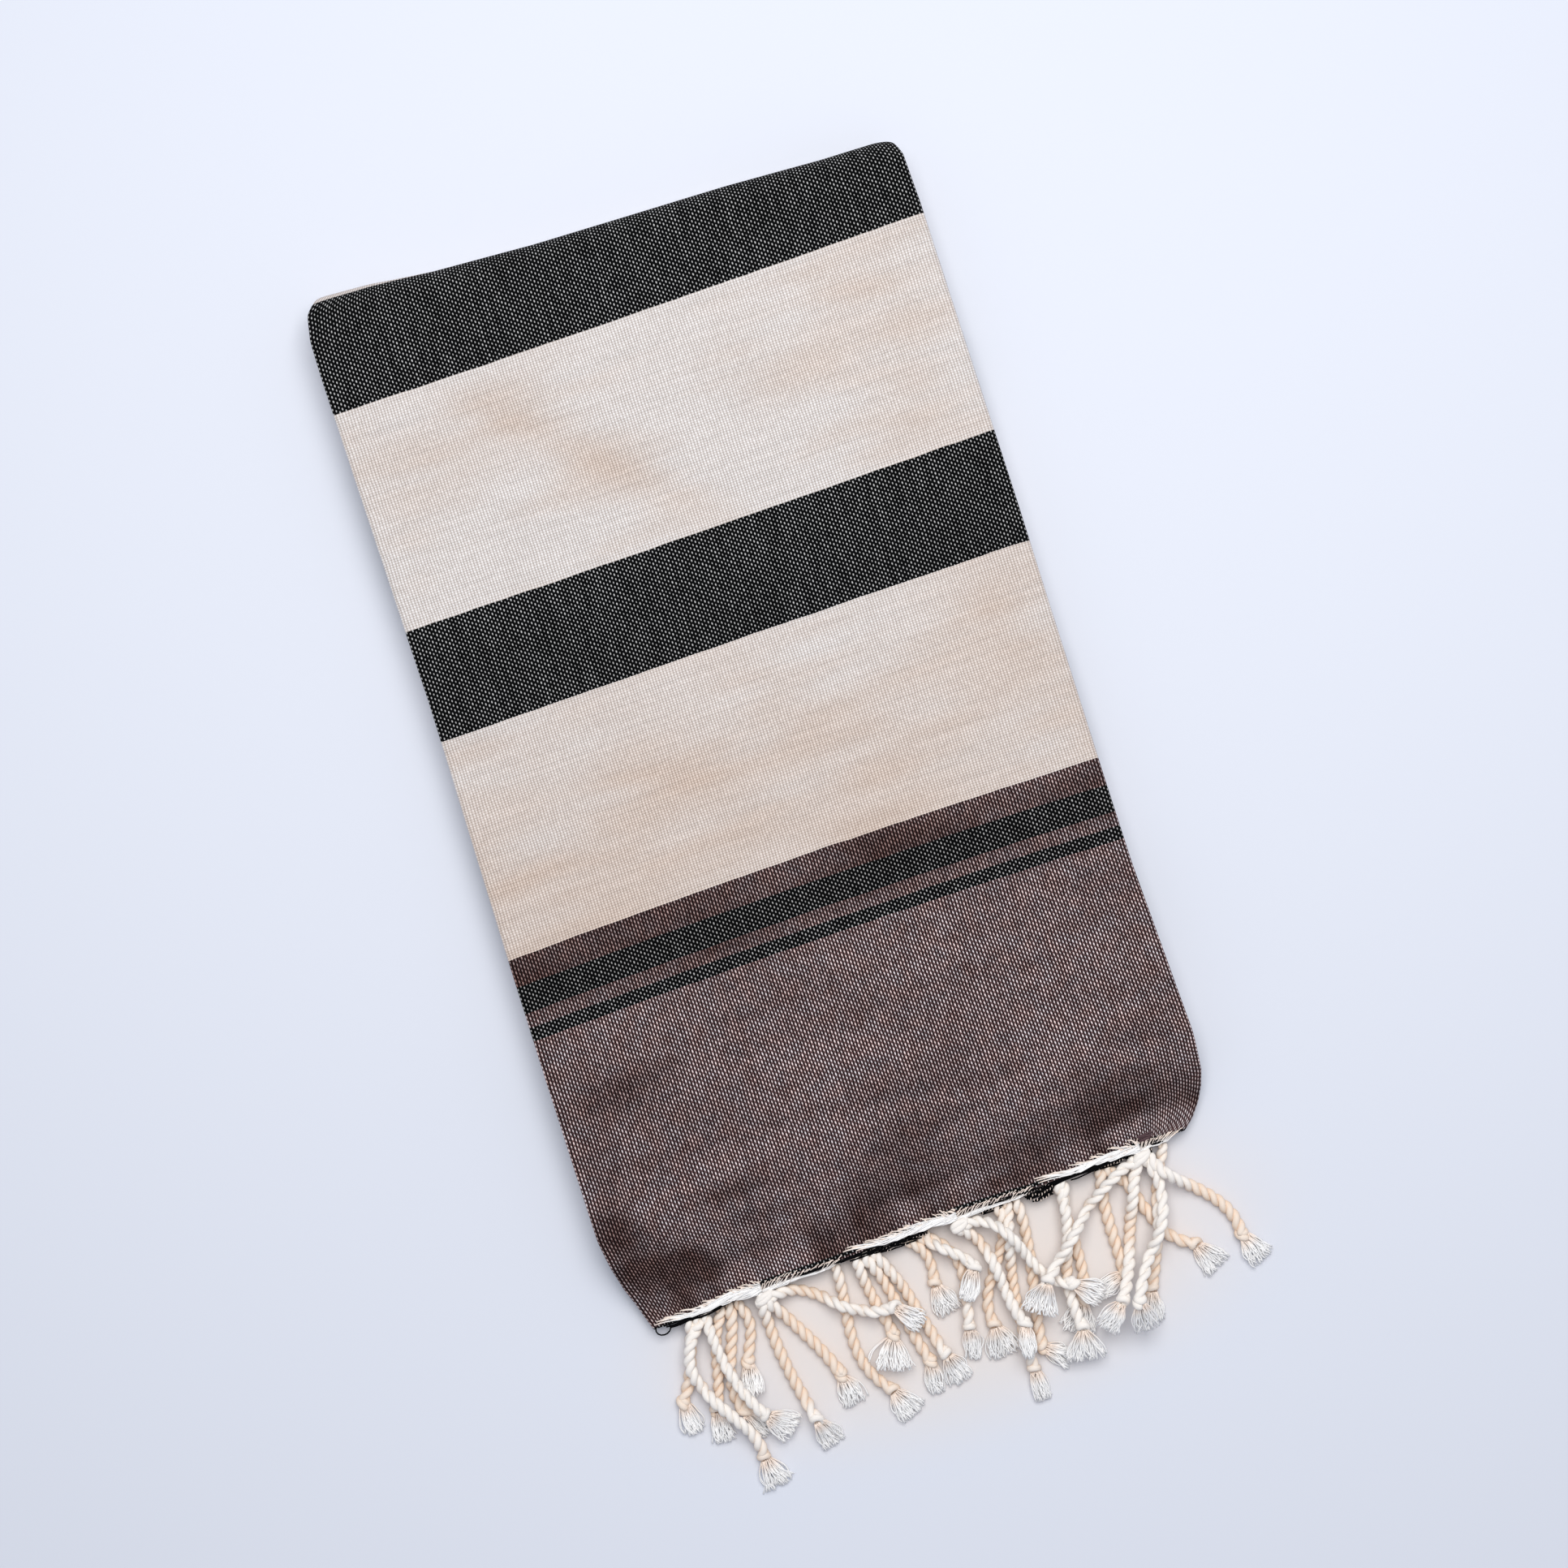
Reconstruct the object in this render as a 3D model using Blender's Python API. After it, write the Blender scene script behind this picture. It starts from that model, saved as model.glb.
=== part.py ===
"""A flat-woven cotton hammam towel, folded in quarters across its width and then rolled
over three times along its length, so that the end with the knotted fringe lies on top
and droops to the surface that the towel rests on. X runs along the stripes, +Y points to
the folded end, and the towel rests on z = 0."""

import math
from collections import namedtuple

import bmesh
import bpy
from mathutils import Vector

MM = 0.001

# The cloth, and the spacing of its plies. The heights are those of the middle of the
# first ply in each layer. The bottom layer and the tucked one lie upside down.
CLOTH = 1.0 * MM
PLY = 1.4 * MM
LAYER_BOTTOM = CLOTH / 2 + 3 * PLY
LAYER_TUCKED = CLOTH / 2 + 7 * PLY
LAYER_THIRD = CLOTH / 2 + 8 * PLY
LAYER_TOP = CLOTH / 2 + 12 * PLY

# The folded stack: its sides, and the stations across it and along it.
LEFT = -124.4 * MM
RIGHT = 121.7 * MM
STATIONS_X = (LEFT, -98 * MM, -71 * MM, -29 * MM, 13 * MM, 53 * MM, 93 * MM, RIGHT)
STATIONS_Y = (110 * MM, 15 * MM, -80 * MM)
FOLD_Y = 206.3 * MM
UNDER_Y = -168 * MM
TUCKED_END = -160 * MM

# The end that droops past the fold under it, and its scalloped edge.
HEM_Y = -213 * MM
HEM_HEIGHT = 3.3 * MM
DROOP_FROM = -168.5 * MM
DROOP_TO = -206 * MM
DROOP_ROWS = tuple(y * MM for y in (-213, -207, -200, -193, -186, -179, -173, -168))
SCALLOP = 1.6 * MM
SCALLOP_REACH = 30 * MM
SCALLOP_FROM = -185 * MM

# How the folded towel is out of shape. The first column is a distance along the towel,
# except in LOFT_X, where it is one across it. The second is a slope, a factor or a shift.
SKEW = (
    (-209 * MM, 0.0425),
    (-160 * MM, 0.022),
    (-80 * MM, 0.018),
    (110 * MM, 0.018),
    (206 * MM, -0.040),
)
WIDTH = (
    (-210 * MM, 1.010),
    (-172 * MM, 1.019),
    (-100 * MM, 1.009),
    (55 * MM, 1.004),
    (186 * MM, 1.007),
    (206 * MM, 1.003),
)
SHIFT = (
    (-172 * MM, -0.1 * MM),
    (-100 * MM, -1.1 * MM),
    (-63 * MM, -0.9 * MM),
    (55 * MM, 0.5 * MM),
    (206 * MM, 0.1 * MM),
)
LEFT_CORNERS = (
    (-213 * MM, 8 * MM),
    (-205 * MM, 5.5 * MM),
    (-194 * MM, 2.4 * MM),
    (-184 * MM, 0.8 * MM),
    (-172 * MM, 0.0),
    (200 * MM, 0.0),
    (210 * MM, 2 * MM),
    (217 * MM, 7 * MM),
)
RIGHT_CORNERS = (
    (-216 * MM, 16 * MM),
    (-209 * MM, 8 * MM),
    (-203 * MM, 4 * MM),
    (-197 * MM, 1.5 * MM),
    (-190 * MM, 0.0),
    (208 * MM, 0.0),
    (217 * MM, 2.5 * MM),
)
CORNER_FROM = 85 * MM
CORNER_REACH = 40 * MM
LOFT_Y = ((-168 * MM, 0.03), (-80 * MM, -0.01), (15 * MM, 0.0), (110 * MM, 0.02), (205 * MM, 0.055))
LOFT_X = (
    (-124 * MM, 0.02),
    (-71 * MM, 0.005),
    (-29 * MM, -0.01),
    (13 * MM, 0.01),
    (53 * MM, 0.025),
    (93 * MM, 0.03),
    (122 * MM, 0.05),
)
# How far the folded edge stands out of line. The first column is a distance across.
FOLD_EDGE = (
    (-124 * MM, 1.0 * MM),
    (-98 * MM, 1.0 * MM),
    (-71 * MM, -0.9 * MM),
    (-29 * MM, -1.4 * MM),
    (53 * MM, 0.2 * MM),
    (93 * MM, 0.0),
    (122 * MM, 0.8 * MM),
)
# How far the cloth has strayed sideways. Columns: way along it from the drooping end, shift.
STRAY = (
    (400 * MM, 0.0),
    (640 * MM, 0.3 * MM),
    (840 * MM, 0.5 * MM),
    (1220 * MM, -0.6 * MM),
    (1600 * MM, 0.4 * MM),
)

# The fringe: a strip along each ply's end, and the knots that gather it.
GAP = 0.5 * MM
STRIP = 1.2 * MM
TAB = 2.0 * MM
TAB_HALF = 4.5 * MM
KNOT_OUT = 4.4 * MM
KNOT_SIZE = (4.6 * MM, 2.2 * MM, 2.7 * MM)
KNOT_REACH = 3.4 * MM
# Each ply's three knots, by x in mm. Ply 1 is the lowest at the drooping end.
HEM_KNOTS = {1: (-86, -5, 75), 2: (-40, 34, 116), 3: (-103, -27, 58), 4: (-71, 13, 93)}

# The strands: a two-ply rope, its end knot and the brush of threads past it. Sizes are
# half widths and half heights.
ROPE = 2.45 * MM
RING_STEP = 2.5 * MM
END_KNOT = 2.9 * MM
END_KNOT_WIDE = 3.3 * MM
END_KNOT_LENGTH = 6.6 * MM
END_KNOT_FLAT = 0.4
BRUSH = 14.5 * MM
BRUSH_HEIGHT = 1.4 * MM
BRUSH_ROOT = 1.8 * MM
ROPE_SAMPLES = 80
BRUSH_SAMPLES = 12
# How strands lie on each other: the space between two, the steepest slope of one, the way
# it takes to come down from its hem knot, and the part at its root that lies on nothing.
APART = 0.5 * MM
SLOPE = 0.65
DESCENT = 13 * MM
ROOT_FREE = 3.5 * MM
ROOT_SHARED = 9 * MM
# How far around a ring its neighbours' heights and headings are taken.
ROPE_REACH = 1.3 * MM
BRUSH_REACH = 3.6 * MM
HEADING_REACH = 4 * MM

# Each strand in the order in which it was laid: its ply and hem knot, how far beside the
# knot it starts, where its end knot lies, how far it bows to its left a third and two
# thirds of the way, and the heading in degrees and the width of its brush. Lengths in mm.
Strand = namedtuple("Strand", "ply knot start end_x end_y bow_a bow_b heading brush")
STRANDS = (
    Strand(2, 0, 0, -34, -272.5, -4, -6.5, -65, 14),
    Strand(1, 0, -4, -105, -258, -1.5, 0, -95, 11),
    Strand(1, 0, 0, -94.5, -262, -1.5, -3.5, -60, 8),
    Strand(1, 0, 4, -86.5, -243, 3, 2, -100, 9),
    Strand(3, 0, -3.5, -117, -251, 1, 1.5, -85, 9),
    Strand(3, 1, -4, -26.5, -251, -1, -0.5, -110, 17),
    Strand(3, 1, 0, -15.5, -266, 1, 0, -95, 8),
    Strand(3, 1, 4, -8.5, -265, 1.5, 0.5, -75, 11),
    Strand(1, 1, -3.5, -4, -236.5, 3, 2.5, -80, 12),
    Strand(1, 1, 4, 4, -257.5, 7, 5, -95, 8),
    Strand(1, 1, 2, 13.5, -234, 0.5, 1, -120, 7),
    Strand(2, 1, -4, 14, -260, 1.5, -2.5, -85, 15),
    Strand(2, 1, 4, 30, -274.5, 1.5, 0.5, -45, 10),
    Strand(2, 1, 0, 24, -282, -2.5, -2.5, -90, 8),
    Strand(3, 2, 0, 52, -261, -0.5, 1.5, -115, 16),
    Strand(3, 2, -2, 48, -271, 0, -2.5, -100, 18),
    Strand(1, 2, -1, 71.5, -257, -1.5, -1, -165, 8),
    Strand(1, 2, 2, 102.5, -254, -0.5, -4, -65, 14),
    Strand(2, 2, -1, 80, -266, -1, 0.5, -100, 9),
    Strand(3, 0, 3.5, -86, -265, -3, -3, -50, 14),
    Strand(4, 0, 0, -52, -260, 0.5, 1, -85, 12),
    Strand(4, 0, -2, -67, -273.5, -2, -2, -75, 12),
    Strand(4, 1, -2, 26, -262, 4.5, 1.5, -100, 6),
    Strand(4, 1, 2, 49, -252, 5.5, -1, -40, 12),
    Strand(4, 2, -1.5, 66.5, -264.5, 0, 1.5, -135, 12),
    Strand(4, 2, 1, 72.5, -265.5, 8.5, 5, -90, 12),
    Strand(4, 2, 3, 122, -256, 0.5, 4, -65, 14),
    Strand(4, 0, 2.5, -23, -239.5, 2.1, -2.5, -50, 10),
    Strand(3, 0, 0, -92.5, -282.5, -11, -3.5, -80, 14),
    Strand(4, 2, -3, 40, -247.5, -3.5, -2, -120, 16),
)

STRIPED_COTTON = (0.30, 0.25, 0.24)
CREAM_COTTON = (0.84, 0.76, 0.66)
COTTON_ROUGHNESS = 0.9

UP = Vector((0, 0, 1))


def smooth(t):
    t = min(1.0, max(0.0, t))
    return t * t * (3 - 2 * t)


def between(value, table):
    """The table's second column at this value of its first, straight from row to row."""
    if value <= table[0][0]:
        return table[0][1]
    for (x0, y0), (x1, y1) in zip(table, table[1:]):
        if value <= x1:
            return y0 + (y1 - y0) * (value - x0) / (x1 - x0)
    return table[-1][1]


def settle(x, y, z):
    """Moves a point of the evenly folded towel to where it lies in the uneven one."""
    near_fold = smooth((y - STATIONS_Y[0]) / (FOLD_Y - STATIONS_Y[0]))
    bulge = between(x, FOLD_EDGE) * near_fold
    corner = smooth((abs(x) - CORNER_FROM) / CORNER_REACH)
    pull = between(y, LEFT_CORNERS) if x < 0 else -between(y, RIGHT_CORNERS)
    loft = 1 + between(y, LOFT_Y) + between(x, LOFT_X)
    across = x * between(y, WIDTH) + between(y, SHIFT) + pull * corner
    return Vector((across, y + x * between(y, SKEW) + bulge, z * loft))


def top_run(y):
    """A row of the top layer: y and z of its lowest ply, and the way its plies stack."""
    reach = DROOP_FROM - DROOP_TO
    t = min(1.0, max(0.0, (y - DROOP_TO) / reach))
    drop = LAYER_TOP - HEM_HEIGHT
    stack = Vector((-drop * 6 * t * (1 - t) / reach, 1.0)).normalized()
    return y, HEM_HEIGHT + drop * smooth(t), stack.x, stack.y


def turn(y, start_layer, end_layer, steps):
    """Rows round the half turn that joins two layers, without its two ends."""
    middle = (start_layer + end_layer) / 2
    radius = abs(start_layer - end_layer) / 2
    start = math.pi / 2 if start_layer > end_layer else -math.pi / 2
    rows = []
    for k in range(1, steps):
        angle = start - math.pi * k / steps
        cos, sin = math.cos(angle), math.sin(angle)
        rows.append((y + radius * cos, middle + radius * sin, cos, sin))
    return rows


def lengthwise_rows():
    """Rows of the cloth from the drooping end to the tucked end."""
    rows = [top_run(y) for y in DROOP_ROWS]
    rows += [(y, LAYER_TOP, 0, 1) for y in (*reversed(STATIONS_Y), FOLD_Y)]
    rows += turn(FOLD_Y, LAYER_TOP, LAYER_BOTTOM, 8)
    rows += [(y, LAYER_BOTTOM, 0, -1) for y in (FOLD_Y, *STATIONS_Y, UNDER_Y)]
    rows += turn(UNDER_Y, LAYER_BOTTOM, LAYER_THIRD, 6)
    rows += [(y, LAYER_THIRD, 0, 1) for y in (UNDER_Y, *reversed(STATIONS_Y), FOLD_Y)]
    rows += turn(FOLD_Y, LAYER_THIRD, LAYER_TUCKED, 6)
    rows += [(y, LAYER_TUCKED, 0, -1) for y in (FOLD_Y, *STATIONS_Y, TUCKED_END)]
    return rows


def strays(rows):
    """How far each row has strayed sideways."""
    ways = [0.0]
    for before, after in zip(rows, rows[1:]):
        ways.append(ways[-1] + math.dist(before[:2], after[:2]))
    return [between(way, STRAY) for way in ways]


def run_across(xs, ply, side):
    """Columns of one ply: x, height above ply 1, and the outer side's direction."""
    return [(x, (ply - 1) * PLY, 0, side) for x in xs]


def loop_across(x, start_ply, end_ply, sweep, steps, side):
    """Columns round the loop that joins two plies, without its two ends."""
    middle = ((start_ply + end_ply) / 2 - 1) * PLY
    radius = abs(start_ply - end_ply) / 2 * PLY
    start = math.pi / 2 if start_ply > end_ply else -math.pi / 2
    columns = []
    for k in range(1, steps):
        angle = start + sweep * k / steps
        cos, sin = math.cos(angle), math.sin(angle)
        columns.append((x + radius * cos, middle + radius * sin, side * cos, side * sin))
    return columns


def crosswise_columns():
    """Columns of the cloth from the lower selvedge to the upper one."""
    rightward, leftward = STATIONS_X, STATIONS_X[::-1]
    columns = run_across(rightward, 1, -1)
    columns += loop_across(RIGHT, 1, 4, math.pi, 6, 1)
    columns += run_across(leftward, 4, 1)
    columns += loop_across(LEFT, 4, 3, math.pi, 4, 1)
    columns += run_across(rightward, 3, -1)
    columns += loop_across(RIGHT, 3, 2, -math.pi, 4, -1)
    columns += run_across(leftward, 2, 1)
    return columns


def drawn_in(x, ply):
    """How far the end of this ply is pulled back at x: most at its knots."""
    depths = []
    for station in STATIONS_X:
        nearest = min(abs(station - knot * MM) for knot in HEM_KNOTS[ply])
        depths.append((station, SCALLOP * max(0.0, 1 - nearest / SCALLOP_REACH)))
    return between(x, depths)


def finished(bm, name):
    """The mesh of this closed shape, in triangles that face outwards."""
    bmesh.ops.triangulate(bm, faces=bm.faces[:])
    if bm.calc_volume(signed=True) < 0:
        bmesh.ops.reverse_faces(bm, faces=bm.faces[:])
    mesh = bpy.data.meshes.new(name)
    bm.to_mesh(mesh)
    bm.free()
    mesh.shade_smooth()
    mesh.set_sharp_from_angle(angle=math.radians(60))
    return mesh


def slab(name, columns, rows, place):
    """A closed slab of one cell's thickness, each of its points moved by place(i, j, side)."""
    bm = bmesh.new()
    bmesh.ops.create_grid(bm, x_segments=columns - 1, y_segments=rows - 1, size=0.5)
    extruded = bmesh.ops.extrude_face_region(bm, geom=bm.faces[:])["geom"]
    upper = {v for v in extruded if isinstance(v, bmesh.types.BMVert)}
    bmesh.ops.translate(bm, vec=UP, verts=list(upper))
    for v in bm.verts:
        i = round((v.co.x + 0.5) * (columns - 1))
        j = round((v.co.y + 0.5) * (rows - 1))
        v.co = place(i, j, 1 if v in upper else -1)
    bmesh.ops.recalc_face_normals(bm, faces=bm.faces[:])
    return finished(bm, name)


def cloth_mesh():
    columns, rows = crosswise_columns(), lengthwise_rows()
    shifts = strays(rows)

    def place(i, j, side):
        x, height, outward_x, outward_z = columns[i]
        y, z, stack_y, stack_z = rows[j]
        if j < len(DROOP_ROWS):
            ply = min(4, max(1, round(height / PLY) + 1))
            share = smooth((SCALLOP_FROM - y) / (SCALLOP_FROM - HEM_Y))
            y, z, stack_y, stack_z = top_run(y + share * drawn_in(x, ply))
        x += side * outward_x * CLOTH / 2 + shifts[j]
        height += side * outward_z * CLOTH / 2
        return settle(x, y + stack_y * height, z + stack_z * height)

    return slab("cloth", len(columns), len(rows), place)


def strip_mesh(ply):
    """The strip along one ply's end, with a tab to each of its knots."""
    knots = [x * MM for x in HEM_KNOTS[ply]]
    xs = [LEFT + 1 * MM, RIGHT - 1 * MM]
    for x in knots:
        xs += [x - TAB_HALF, x, x + TAB_HALF]
    xs += [x for x in STATIONS_X[1:-1] if min(abs(x - other) for other in xs) > 1 * MM]
    xs.sort()

    def place(i, j, side):
        x = xs[i]
        nearest = min(abs(x - knot) for knot in knots)
        tab = TAB * max(0.0, 1 - nearest / TAB_HALF)
        y = HEM_Y - GAP + (drawn_in(x, ply) if j else -STRIP - tab)
        return settle(x, y, top_run(y)[1] + (ply - 1) * PLY + side * CLOTH / 2)

    return slab(f"strip_{ply}", len(xs), 2, place)


def knot_centre(ply, number):
    x = HEM_KNOTS[ply][number] * MM
    y = HEM_Y - KNOT_OUT
    return settle(x, y, top_run(y)[1] + (ply - 1) * PLY)


def knot_mesh(ply, number):
    bm = bmesh.new()
    bmesh.ops.create_icosphere(bm, subdivisions=2, radius=1.0)
    bmesh.ops.scale(bm, vec=KNOT_SIZE, verts=bm.verts[:])
    bmesh.ops.translate(bm, vec=knot_centre(ply, number), verts=bm.verts[:])
    return finished(bm, f"knot_{ply}_{number + 1}")


def plan_of(row):
    """A strand seen from above: samples of point, half width, half height and way along
    it, and the way to its end knot."""
    root = knot_centre(row.ply, row.knot).xy + Vector((row.start * MM, 0))
    end = Vector((row.end_x * MM, row.end_y * MM))
    chord = end - root
    left = Vector((-chord.y, chord.x)).normalized()
    points = []
    for k in range(ROPE_SAMPLES + 1):
        t = k / ROPE_SAMPLES
        bow = row.bow_a * (t - 2 / 3) - row.bow_b * (t - 1 / 3)
        points.append(root + t * chord + left * (13.5 * t * (t - 1) * bow * MM))
    heading = math.radians(row.heading)
    out = Vector((math.cos(heading), math.sin(heading))) * BRUSH
    points += [end + out * k / BRUSH_SAMPLES for k in range(1, BRUSH_SAMPLES + 1)]
    way = [0.0]
    for p, q in zip(points, points[1:]):
        way.append(way[-1] + (q - p).length)
    knot_at = way[ROPE_SAMPLES]
    half = END_KNOT_LENGTH / 2
    wide = (
        (knot_at - half, ROPE),
        (knot_at - END_KNOT_FLAT * half, END_KNOT_WIDE),
        (knot_at + END_KNOT_FLAT * half, END_KNOT_WIDE),
        (knot_at + half, BRUSH_ROOT),
        (knot_at + BRUSH, row.brush * MM / 2),
    )
    tall = (
        (knot_at - half, ROPE),
        (knot_at - END_KNOT_FLAT * half, END_KNOT),
        (knot_at + END_KNOT_FLAT * half, END_KNOT),
        (knot_at + half, BRUSH_ROOT),
        (knot_at + BRUSH, BRUSH_HEIGHT),
    )
    return [(p, between(s, wide), between(s, tall), s) for p, s in zip(points, way)], knot_at


def lay(strand, root, obstacles):
    """Heights of a strand's samples, resting on the surface or on what lies there."""
    heights = []
    for point, wide, tall, way in strand:
        height = tall + (root.z - tall) * (1 - smooth(way / DESCENT))
        for other, other_wide, other_tall, other_height, other_root, other_way in obstacles:
            shared = other_root == root and min(way, other_way) < ROOT_SHARED
            if shared or way < ROOT_FREE:
                continue
            apart = (point - other).length / (wide + other_wide + APART)
            if apart < 1:
                # Ropes are round where they cross, and knots and brushes are blunt.
                blunt = 4 if max(wide, other_wide) > ROPE * 1.2 else 2
                over = (tall + other_tall + APART) * (1 - apart**blunt) ** (1 / blunt)
                height = max(height, other_height + over)
        heights.append(height)
    count = len(strand)
    for step, order in ((1, range(1, count)), (-1, range(count - 2, -1, -1))):
        for k in order:
            if strand[k][3] > 1 * MM:
                run = abs(strand[k][3] - strand[k - step][3])
                heights[k] = max(heights[k], heights[k - step] - SLOPE * run)
    return heights


def strand_mesh(name, strand, knot_at, heights):
    """A square rod that twists an eighth of a turn from ring to ring, with its corners
    turned up and sideways at the end knot and the brush."""
    half = END_KNOT_LENGTH / 2
    rope_end = knot_at - half
    turns = max(2, round(rope_end / RING_STEP))
    rings = [(rope_end * k / turns, -45 * k, 1.0) for k in range(turns + 1)]
    # Past the rope the corners of the square stand at its full width and height.
    last = -45 * (turns + turns % 2 + 1)
    flat = END_KNOT_FLAT * half
    for beyond in (-flat, flat, half, BRUSH / 2, BRUSH):
        rings.append((knot_at + beyond, last, math.sqrt(2)))
    xs = [(s[3], s[0].x) for s in strand]
    ys = [(s[3], s[0].y) for s in strand]
    wide = [(s[3], s[1]) for s in strand]
    tall = [(s[3], s[2]) for s in strand]
    lifts = [(s[3], h - s[2]) for s, h in zip(strand, heights)]
    zs = []
    for way, roll, full in rings:
        reach = ROPE_REACH if way < knot_at + half else BRUSH_REACH
        lift = max(lift for at, lift in lifts if abs(at - way) <= reach)
        zs.append((way, between(way, tall) + lift))

    def centre_at(way):
        return Vector((between(way, xs), between(way, ys), between(way, zs)))

    bm = bmesh.new()
    bmesh.ops.create_cone(bm, cap_ends=True, segments=4, radius1=1, radius2=1, depth=1)
    long_edges = [e for e in bm.edges if abs(e.verts[0].co.z - e.verts[1].co.z) > 0.5]
    bmesh.ops.subdivide_edges(bm, edges=long_edges, cuts=len(rings) - 2)
    for v in bm.verts:
        way, roll, full = rings[round((v.co.z + 0.5) * (len(rings) - 1))]
        after = min(way + HEADING_REACH, strand[-1][3])
        before = max(0.0, way - HEADING_REACH)
        ahead = (centre_at(after) - centre_at(before)).normalized()
        side = ahead.cross(UP).normalized()
        up = side.cross(ahead)
        angle = math.atan2(v.co.y, v.co.x) + math.radians(roll)
        across = side * math.cos(angle) * between(way, wide)
        v.co = centre_at(way) + full * (across + up * math.sin(angle) * between(way, tall))
    return finished(bm, name)


def material(name, colour):
    made = bpy.data.materials.new(name)
    made.use_nodes = True
    shader = made.node_tree.nodes["Principled BSDF"]
    shader.inputs["Base Color"].default_value = (*colour, 1)
    shader.inputs["Roughness"].default_value = COTTON_ROUGHNESS
    shader.inputs["Metallic"].default_value = 0.0
    return made


def add_object(name, mesh, parent, collection):
    made = bpy.data.objects.new(name, mesh)
    collection.objects.link(made)
    made.parent = parent
    return made


for old in list(bpy.data.objects):
    bpy.data.objects.remove(old)
scene = bpy.context.scene.collection
towel = add_object("towel", None, None, scene)

cloth = add_object("cloth", cloth_mesh(), towel, scene)
cloth.data.materials.append(material("striped_cotton", STRIPED_COTTON))

# The hem knots come first, then each strand in the order in which it was laid.
obstacles = []
pieces = {ply: [] for ply in HEM_KNOTS}
for ply, knots in HEM_KNOTS.items():
    for number in range(len(knots)):
        centre = knot_centre(ply, number)
        pieces[ply].append(knot_mesh(ply, number))
        obstacles.append((centre.xy, KNOT_REACH, KNOT_SIZE[2], centre.z, centre, 0.0))
for count, row in enumerate(STRANDS, start=1):
    strand, knot_at = plan_of(row)
    root = knot_centre(row.ply, row.knot)
    heights = lay(strand, root, obstacles)
    pieces[row.ply].append(strand_mesh(f"strand_{count}", strand, knot_at, heights))
    for (point, wide, tall, way), height in zip(strand, heights):
        obstacles.append((point, wide, tall, height, root, way))

# Each ply's strip is joined to its knots and strands.
for ply, meshes in pieces.items():
    group = bpy.data.collections.new(f"fringe_{ply}_pieces")
    scene.children.link(group)
    for mesh in meshes:
        piece = add_object(mesh.name, mesh, towel, group)
        piece.hide_render = True
        piece.display_type = "WIRE"
    fringe = add_object(f"fringe_{ply}", strip_mesh(ply), towel, scene)
    fringe.data.materials.append(material(f"cotton_cord_{ply}", CREAM_COTTON))
    join = fringe.modifiers.new("join", "BOOLEAN")
    join.operation = "UNION"
    join.solver = "EXACT"
    join.operand_type = "COLLECTION"
    join.collection = group
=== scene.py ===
"""A hammam towel, folded into an oblong stack, lying on a pale surface with its knotted
fringe spread past one end. X runs along the stripes, +Y to the folded end."""

import math
import random
from collections import namedtuple

import bmesh
import bpy
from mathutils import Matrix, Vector, noise


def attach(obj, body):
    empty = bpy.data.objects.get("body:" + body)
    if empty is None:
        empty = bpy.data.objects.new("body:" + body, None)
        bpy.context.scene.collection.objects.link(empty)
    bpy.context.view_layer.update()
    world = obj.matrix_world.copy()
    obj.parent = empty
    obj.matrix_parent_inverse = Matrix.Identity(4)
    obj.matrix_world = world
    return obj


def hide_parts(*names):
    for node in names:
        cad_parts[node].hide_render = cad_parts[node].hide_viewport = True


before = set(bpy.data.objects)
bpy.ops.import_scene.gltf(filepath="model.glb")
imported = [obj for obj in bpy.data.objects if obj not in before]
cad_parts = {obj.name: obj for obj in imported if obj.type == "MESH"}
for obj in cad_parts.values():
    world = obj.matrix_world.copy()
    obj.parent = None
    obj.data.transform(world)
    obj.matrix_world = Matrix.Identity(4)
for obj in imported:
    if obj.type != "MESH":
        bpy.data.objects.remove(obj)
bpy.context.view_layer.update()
bpy.ops.object.select_all(action="DESELECT")

# ---------------------------------------------------------------------------------------
# Camera: straight above the towel, turned so that the stripes rise to the right, and far
# enough away that the frame is 632 mm wide at the top of the stack.
MM = 0.001
STACK_TOP = 22 * MM
CAMERA_RISE = 1100 * MM
CAMERA_PLACE = (0.5 * MM, -22.9 * MM, STACK_TOP + CAMERA_RISE)
CAMERA_TURN = math.radians(-18)
FRAME_WIDTH = 631.8 * MM
FILM_WIDTH = 36
bpy.ops.object.camera_add(location=CAMERA_PLACE, rotation=(0, 0, CAMERA_TURN))
camera = bpy.context.object
camera.name = "camera"
camera.data.sensor_width = FILM_WIDTH
camera.data.lens = FILM_WIDTH * CAMERA_RISE / FRAME_WIDTH
bpy.context.scene.camera = camera
bpy.context.scene.view_settings.view_transform = "Standard"


# ---------------------------------------------------------------------------------------
# Surface and light: a table top in white lacquer, lit by a pale sky from all round and by
# a wide soft window above the folded end.
def hex_colour(text):
    """An sRGB colour such as "#e8eefb", turned linear."""
    parts = [int(text[k : k + 2], 16) / 255 for k in (1, 3, 5)]
    linear = [c / 12.92 if c <= 0.04045 else ((c + 0.055) / 1.055) ** 2.4 for c in parts]
    return (*linear, 1.0)


def add_node(tree, kind, inputs=(), output=0, **settings):
    """Adds a shader node with its settings, feeds its inputs and returns one of its outputs."""
    made = tree.nodes.new("ShaderNode" + kind)
    for name, value in settings.items():
        setattr(made, name, value)
    fed = inputs.items() if isinstance(inputs, dict) else enumerate(inputs)
    for name, value in fed:
        if isinstance(value, bpy.types.NodeSocket):
            tree.links.new(value, made.inputs[name])
        else:
            made.inputs[name].default_value = value
    return made.outputs[output] if made.outputs else None


def new_material(name):
    made = bpy.data.materials.new(name)
    made.use_nodes = True
    made.node_tree.nodes.clear()
    return made


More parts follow.
